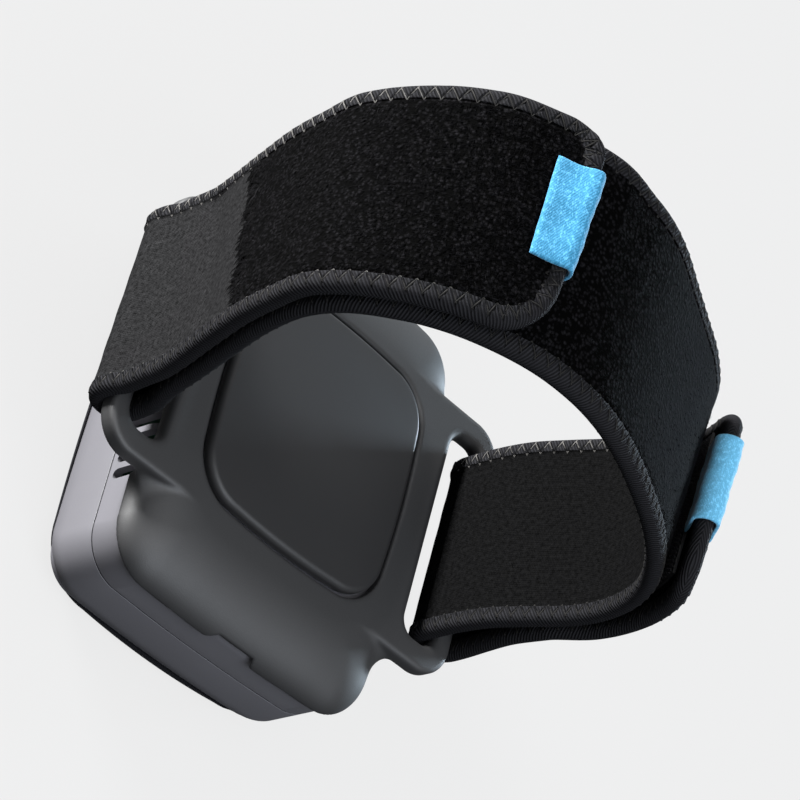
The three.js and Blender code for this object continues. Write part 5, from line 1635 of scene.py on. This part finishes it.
def make_tab(name, path, tail, settings):
    """Soft tape folded round the tail's tip, held a little off both faces."""
    profile = tab_profile()
    along = distances(profile)
    run = unit(np.gradient(profile, axis=0))
    y, height = tab_section()
    rings, uv = [], []
    for index, (left, rise) in enumerate(profile):
        from_end = min(index, len(profile) - 1 - index)
        squeeze = TAB_END_SHARES[from_end] if from_end < len(TAB_END_SHARES) else 1.0
        wave = 0.10 * np.sin(y * 0.55 + along[index] * 0.35) + 0.06 * np.sin(y * 1.7 - along[index] * 0.8)
        offset = height * squeeze + wave
        left, rise = left + run[index, 1] * offset, rise - run[index, 0] * offset
        rings.append(tip_place(path, tail, left, y + (TAB["far"] + TAB["near"]) / 2, rise))
        uv.append(np.column_stack([np.full(len(y), along[index]), y]))
    finish = tab_finish(name + "_tape", tuple(settings.colour), settings.weave_pitch, TAB_PAINTED_LIGHT[tail["side"]])
    piece = loft(name, rings, smooth_angle=70, finishes=[finish])
    store_uv(piece.data, "cloth", np.concatenate(uv) * MM)
    return piece


# Putting pieces in the frame


def hand_over(piece, nodes):
    """Stops on a piece that came out empty, and hides the part's own nodes that it stands for."""
    if not piece.data.polygons:
        raise RuntimeError(f"{piece.name} came out empty")
    if nodes:
        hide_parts(*nodes)


def stand_in(piece, slot, body, *nodes):
    """Lets a piece move with a body."""
    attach(piece, body)
    hand_over(piece, nodes)


def fit_strap(piece, slot, path, run, *nodes):
    """Lets a piece of the band move with the cradle assembly; a tail's piece only has its place baked into
    its mesh.
    """
    if run == "band":
        stand_in(piece, slot, "cradle_assembly", *nodes)
        return
    tail = TAILS[run]
    first = path.tail_line(tail, np.array([tail["root"] - BEND["before"]]))[0]
    last = path.tail_line(tail, np.array([tail["root"] + BEND["after"]]))[0]
    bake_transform(piece)
    hand_over(piece, nodes)


def strap_runs(path, past=0.0):
    """Each run of the strap: its node's name and the distances from the top tip that it lies between."""
    top, side = TAILS["top"], TAILS["side"]
    first = path.at_tail(top, top["root"] - BEND["before"])
    last = path.at_tail(side, side["root"] - BEND["before"])
    return {
        "band": ("strap_band", first, last),
        "top": ("strap_tail_top", -past, first),
        "side": ("strap_tail_side", last, path.length + past),
    }


class THERAPY_OT_case(bpy.types.Operator):
    """Makes the two case halves, the front cap, its keys and the treatment plate"""

    bl_idname = "therapy.case"
    bl_label = "Case and plate"

    def execute(self, context):
        settings = context.scene.therapy_case
        steps = settings.corner_steps
        shell = moulded("shell_plastic", tuple(settings.shell_colour), 0.45, 0.10)
        cap = moulded("cap_plastic", tuple(settings.cap_colour), 0.26, 0.03, coat=0.2)
        key = moulded("key_rubber", (0.030, 0.031, 0.034), 0.55, 0.2)
        plate = moulded("plate_coating", tuple(settings.plate_colour), 0.5, 0.22, metallic=0.1, wear=2.0)
        made = [
            (make_front_cap(steps), cap, "cap", "front_cap"),
            (make_front_shell(steps), shell, "shell", "front_shell"),
            (make_rear_shell(steps), shell, "shell", "rear_shell"),
            (make_plate(steps), plate, "plate", "treatment_plate"),
        ]
        for piece, finish, slot, node in made:
            stand_in(paint(piece, finish), slot, "unit", node)
        # A dark ring in the case seam: painted shade for the gap between the halves
        rubber = moulded("seam_shade_rubber", (0.008, 0.008, 0.009), 0.7, 0.1, level=0.2)
        stand_in(paint(make_seam_shade_ring(steps), rubber), "foam", "unit")
        for body, x in (("power", -KEY["x"]), ("mode", KEY["x"])):
            stand_in(paint(make_key(body + "_key_cap", x), key), "key", body + "_key", body + "_button")
        return {"FINISHED"}


class THERAPY_OT_cradle(bpy.types.Operator):
    """Makes the soft moulding that grips the case and carries the strap"""

    bl_idname = "therapy.cradle"
    bl_label = "Cradle"

    def execute(self, context):
        settings = context.scene.therapy_cradle
        piece = make_cradle(settings.grid / MM, settings.crease / MM)
        rubber = moulded("cradle_rubber", tuple(settings.colour), 0.58, 0.30, wear=1.35, level=0.75)
        stand_in(paint(piece, rubber), "cradle", "cradle_assembly", "cradle")
        return {"FINISHED"}


class THERAPY_OT_strap(bpy.types.Operator):
    """Makes the strap's band and its two tails"""

    bl_idname = "therapy.strap"
    bl_label = "Strap"

    def execute(self, context):
        settings = context.scene.therapy_strap
        path = StrapPath()
        step, pitch = settings.row_step / MM, settings.stitch_pitch / MM
        finishes = [
            strap_finish("strap_cloth", tuple(settings.pile_colour), tuple(settings.jersey_colour)),
            binding_finish("strap_binding", tuple(settings.binding_colour)),
        ]
        for run, (node, low, high) in strap_runs(path).items():
            piece = make_strap_part(node + "_cloth", path, low, high, step, pitch, finishes)
            fit_strap(piece, "strap", path, run, node)
        return {"FINISHED"}


class THERAPY_OT_stitches(bpy.types.Operator):
    """Sews the zigzag thread along the strap's edges"""

    bl_idname = "therapy.stitches"
    bl_label = "Stitches"

    def execute(self, context):
        settings = context.scene.therapy_strap
        path = StrapPath()
        finish = thread_finish("edge_thread", tuple(settings.thread_colour))
        for run, (node, low, high) in strap_runs(path, past=1.0).items():
            name = node.replace("strap", "stitches")
            piece = make_stitches(name, path, low, high, settings, finish)
            fit_strap(piece, "strap", path, run)
        return {"FINISHED"}


class THERAPY_OT_pile(bpy.types.Operator):
    """Adds the loose fibres where the loop pile begins"""

    bl_idname = "therapy.pile"
    bl_label = "Loose pile"

    def execute(self, context):
        settings = context.scene.therapy_strap
        path = StrapPath()
        pitch = settings.stitch_pitch / MM
        finish = fibre_finish("pile_fibre", tuple(settings.pile_colour))
        places = boundary_places(path, count=1500, seed=21)
        fibres = make_fibres("pile_edge_fibres", path, places, -1, PILE_EDGE, finish, pitch, seed=5)
        stand_in(fibres, "strap", "cradle_assembly")
        runs = strap_runs(path)
        first, last = runs["band"][1:]
        between_bars = (path.top_bar + LOOP_PILE_GAP, path.side_bar - LOOP_PILE_GAP)
        # Run, part of it, face, the distances it lies between, kind of pile, how many fibres, seed
        areas = (
            ("band", "outer", -1, first, path.top_bar, PILE_LONG, 4500, 41),
            ("band", "loop", 1, *between_bars, PILE_SHORT, 12500, 42),
            ("top", "", -1, 0.0, first, PILE_LONG, 8500, 43),
            ("side", "", -1, last, path.length, PILE_SHORT, 5200, 44),
        )
        for run, part, face, low, high, kind, count, seed in areas:
            name = "pile_band_" + part if part else "pile_tail_" + run
            places = pile_places(path, count, face, low, high, seed)
            fibres = make_fibres(name, path, places, face, kind, finish, pitch, seed)
            fit_strap(fibres, "strap", path, run)
        return {"FINISHED"}


class THERAPY_OT_hooks(bpy.types.Operator):
    """Makes the hook pads under the strap's tails, with their hooks"""

    bl_idname = "therapy.hooks"
    bl_label = "Hook pads"

    def execute(self, context):
        path = StrapPath()
        finish = moulded("hook_plastic", (0.020, 0.020, 0.022), 0.5, 0.1)
        for name, seed in (("top", 31), ("side", 32)):
            tail = TAILS[name]
            pad = make_hook_pad("hook_tape_" + name, path, tail, finish)
            stand_in(pad, "hook", name + "_flap", "hook_pad_" + name)
            hooks = make_hooks("hooks_" + name, path, tail, finish, seed)
            stand_in(hooks, "hook", name + "_flap")
        return {"FINISHED"}


class THERAPY_OT_tabs(bpy.types.Operator):
    """Makes the folded pull tabs at the ends of the tails"""

    bl_idname = "therapy.tabs"
    bl_label = "Pull tabs"

    def execute(self, context):
        path = StrapPath()
        for name in ("top", "side"):
            piece = make_tab("tab_" + name, path, TAILS[name], context.scene.therapy_tab)
            stand_in(piece, "tab", name + "_flap", "pull_tab_" + name)
        return {"FINISHED"}


class THERAPY_OT_inner(bpy.types.Operator):
    """Finishes the parts inside the case, whose shapes come from the part itself"""

    bl_idname = "therapy.inner"
    bl_label = "Inner parts"

    def execute(self, context):
        screw = bare_metal("screw_steel", (0.30, 0.30, 0.31), 0.34)
        board = board_finish("board_mask", (0.012, 0.085, 0.035))
        dark = moulded("component_plastic", (0.018, 0.018, 0.020), 0.48, 0.15)
        foam = foam_finish("seal_foam", (0.045, 0.045, 0.048))
        finishes = {
            "display_lens": glass_finish("lens_glass", (0.006, 0.006, 0.008)),
            "display_screen": moulded("screen_glass", (0.010, 0.014, 0.016), 0.15, 0.02),
            "panel_board": board,
            "main_board": board,
            "power_switch": dark,
            "mode_switch": dark,
            "control_chip": dark,
            "fan_frame": dark,
            "fan_rotor": moulded("rotor_plastic", (0.030, 0.030, 0.033), 0.4, 0.1),
            "temperature_sensor": dark,
            "battery_cell_left": moulded("cell_film", (0.36, 0.37, 0.40), 0.32, 0.1, metallic=0.6),
            "battery_cell_right": moulded("cell_film_right", (0.36, 0.37, 0.40), 0.32, 0.1, metallic=0.6),
            "charging_port": bare_metal("port_steel", (0.55, 0.55, 0.56), 0.28, streak=(1, 0.1, 1)),
            "fan_bush": bare_metal("bush_brass", (0.60, 0.42, 0.18), 0.3),
            "heat_sink": bare_metal("sink_aluminium", (0.62, 0.63, 0.65), 0.36, streak=(1, 0.08, 1)),
            "cooling_module": moulded("module_ceramic", (0.72, 0.72, 0.70), 0.5, 0.1),
            "foam_ring": foam,
            "plate_seal": foam,
        }
        finishes.update({f"case_screw_{number}": screw for number in range(1, 5)})
        for name, finish in finishes.items():
            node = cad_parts.get(name)
            if node is None:
                raise RuntimeError(f"the frame has no node {name}")
            if not node.material_slots:
                node.data.materials.append(finish)
            for slot in node.material_slots:
                slot.material = finish
        return {"FINISHED"}


# Stage, in metres

FLOOR = {"glow": 0.895, "paint": 0.06, "bounce": 0.08, "reach": 4.0, "low": -0.0002}
FILL = {"colour": (0.96, 0.97, 1.0), "level": 0.25}
AIM = (0.0, 0.0, 0.06)
LAMPS = {
    "key_lamp": {"place": (-0.75, 0.56, 0.09), "size": (0.34, 0.14), "power": 39.0},
    "top_lamp": {"place": (-0.14, 0.02, 0.95), "size": (0.8, 0.8), "power": 5.4},
    "near_lamp": {"place": (0.12, -0.52, 0.79), "size": (0.7, 0.5), "power": 6.2},
    "right_lamp": {"place": (0.84, 0.42, 0.10), "size": (0.16, 0.16), "power": 9.0},
}
LAMPS["near_lamp"]["colour"] = (0.86, 0.92, 1.0)
LAMPS["right_lamp"]["colour"] = (0.72, 0.87, 1.0)
CAMERA = {
    "place": (-0.40266, -0.37906, 0.54044),
    "right": (0.64662156, 0.22784396, 0.72798879),
    "up": (-0.52987955, 0.82068081, 0.21380052),
    "back": (-0.54873328, -0.5239944, 0.65139977),
    "sensor": 36.0,
}


def stage_finish(name, colour):
    """Plain surface that the camera sees at its own colour, with the object's shadow still on it."""
    material = bpy.data.materials.new(name)
    material.use_nodes = True
    tree = Tree(material.node_tree)
    glow = tree.node("Emission", Color=rgba(colour), Strength=FLOOR["glow"])
    shadowed = tree.node("BsdfDiffuse", Color=rgba(colour, FLOOR["paint"]))
    seen = tree.node("AddShader", i0=glow, i1=shadowed)
    lit = tree.node("BsdfDiffuse", Color=rgba(colour, FLOOR["bounce"]))
    rays = tree.node("LightPath").outputs
    direct = {"i0": rays["Is Camera Ray"], "i1": rays["Is Transmission Ray"]}
    share = tree.node("Math", {"operation": "MAXIMUM"}, **direct)
    tree.node("OutputMaterial", Surface=tree.node("MixShader", i0=share, i1=lit, i2=seen))
    return material


def backdrop(colour):
    """The world: its plain colour for the camera and an even fill light for everything else."""
    world = bpy.data.worlds.new("backdrop")
    world.use_nodes = True
    tree = Tree(world.node_tree)
    seen = tree.node("Background", Color=rgba(colour))
    light = tree.node("Background", Color=rgba(FILL["colour"]), Strength=FILL["level"])
    rays = tree.node("LightPath").outputs
    tree.node("OutputWorld", Surface=tree.node("MixShader", i0=rays["Is Camera Ray"], i1=light, i2=seen))
    return world


def lamp(name, place, size, power, colour=(1, 1, 1)):
    """A soft rectangular lamp that points at the middle of the unit."""
    data = bpy.data.lights.new(name, "AREA")
    data.shape = "RECTANGLE"
    data.size, data.size_y = size
    data.energy = power
    data.color = colour
    light = link(bpy.data.objects.new(name, data))
    light.location = place
    light.rotation_euler = (Vector(AIM) - Vector(place)).to_track_quat("-Z", "Y").to_euler()


class THERAPY_OT_stage(bpy.types.Operator):
    """Sets the floor, the backdrop, the lamps and the camera"""

    bl_idname = "therapy.stage"
    bl_label = "Stage"

    def execute(self, context):
        settings = context.scene.therapy_stage
        colour = tuple(settings.background)
        reach = FLOOR["reach"]
        mesh = bpy.data.meshes.new("floor")
        corners = [(-reach, -reach), (reach, -reach), (reach, reach), (-reach, reach)]
        mesh.from_pydata([(x, y, FLOOR["low"]) for x, y in corners], [], [(0, 1, 2, 3)])
        mesh.materials.append(stage_finish("floor_paper", colour))
        link(bpy.data.objects.new("floor", mesh))
        context.scene.world = backdrop(colour)
        for name, settled in LAMPS.items():
            lamp(name, **settled)
        data = bpy.data.cameras.new("camera")
        data.lens = settings.lens
        data.sensor_width = CAMERA["sensor"]
        camera = link(bpy.data.objects.new("camera", data))
        axes = Matrix((CAMERA["right"], CAMERA["up"], CAMERA["back"])).transposed()
        camera.matrix_world = Matrix.Translation(CAMERA["place"]) @ axes.to_4x4()
        context.scene.camera = camera
        context.scene.view_settings.view_transform = "Standard"
        return {"FINISHED"}


class THERAPY_PT_panel(bpy.types.Panel):
    """Lists the steps that dress the unit, and their settings"""

    bl_idname = "THERAPY_PT_panel"
    bl_label = "Therapy unit"
    bl_space_type = "VIEW_3D"
    bl_region_type = "UI"
    bl_category = "Therapy unit"

    def draw(self, context):
        for group, steps in PANEL_ROWS:
            box = self.layout.box()
            if group:
                settings = getattr(context.scene, group)
                for key in settings.__annotations__:
                    box.prop(settings, key)
            for step in steps:
                box.operator(step)


PANEL_ROWS = (
    ("therapy_case", ("therapy.case", "therapy.inner")),
    ("therapy_cradle", ("therapy.cradle",)),
    ("therapy_strap", ("therapy.strap", "therapy.stitches", "therapy.pile", "therapy.hooks")),
    ("therapy_tab", ("therapy.tabs",)),
    ("therapy_stage", ("therapy.stage",)),
)
SETTINGS = {
    "therapy_case": CaseSettings,
    "therapy_cradle": CradleSettings,
    "therapy_strap": StrapSettings,
    "therapy_tab": TabSettings,
    "therapy_stage": StageSettings,
}
CLASSES = (
    *SETTINGS.values(),
    THERAPY_OT_case,
    THERAPY_OT_cradle,
    THERAPY_OT_strap,
    THERAPY_OT_stitches,
    THERAPY_OT_pile,
    THERAPY_OT_hooks,
    THERAPY_OT_tabs,
    THERAPY_OT_inner,
    THERAPY_OT_stage,
    THERAPY_PT_panel,
)


def register():
    for kind in CLASSES:
        bpy.utils.register_class(kind)
    for name, kind in SETTINGS.items():
        setattr(bpy.types.Scene, name, bpy.props.PointerProperty(type=kind))


def unregister():
    for name in SETTINGS:
        delattr(bpy.types.Scene, name)
    for kind in reversed(CLASSES):
        bpy.utils.unregister_class(kind)


def main():
    register()
    bpy.ops.therapy.case()
    bpy.ops.therapy.inner()
    bpy.ops.therapy.cradle()
    bpy.ops.therapy.strap()
    bpy.ops.therapy.stitches()
    bpy.ops.therapy.pile()
    bpy.ops.therapy.hooks()
    bpy.ops.therapy.tabs()
    bpy.ops.therapy.stage()


if __name__ == "__main__":
    main()
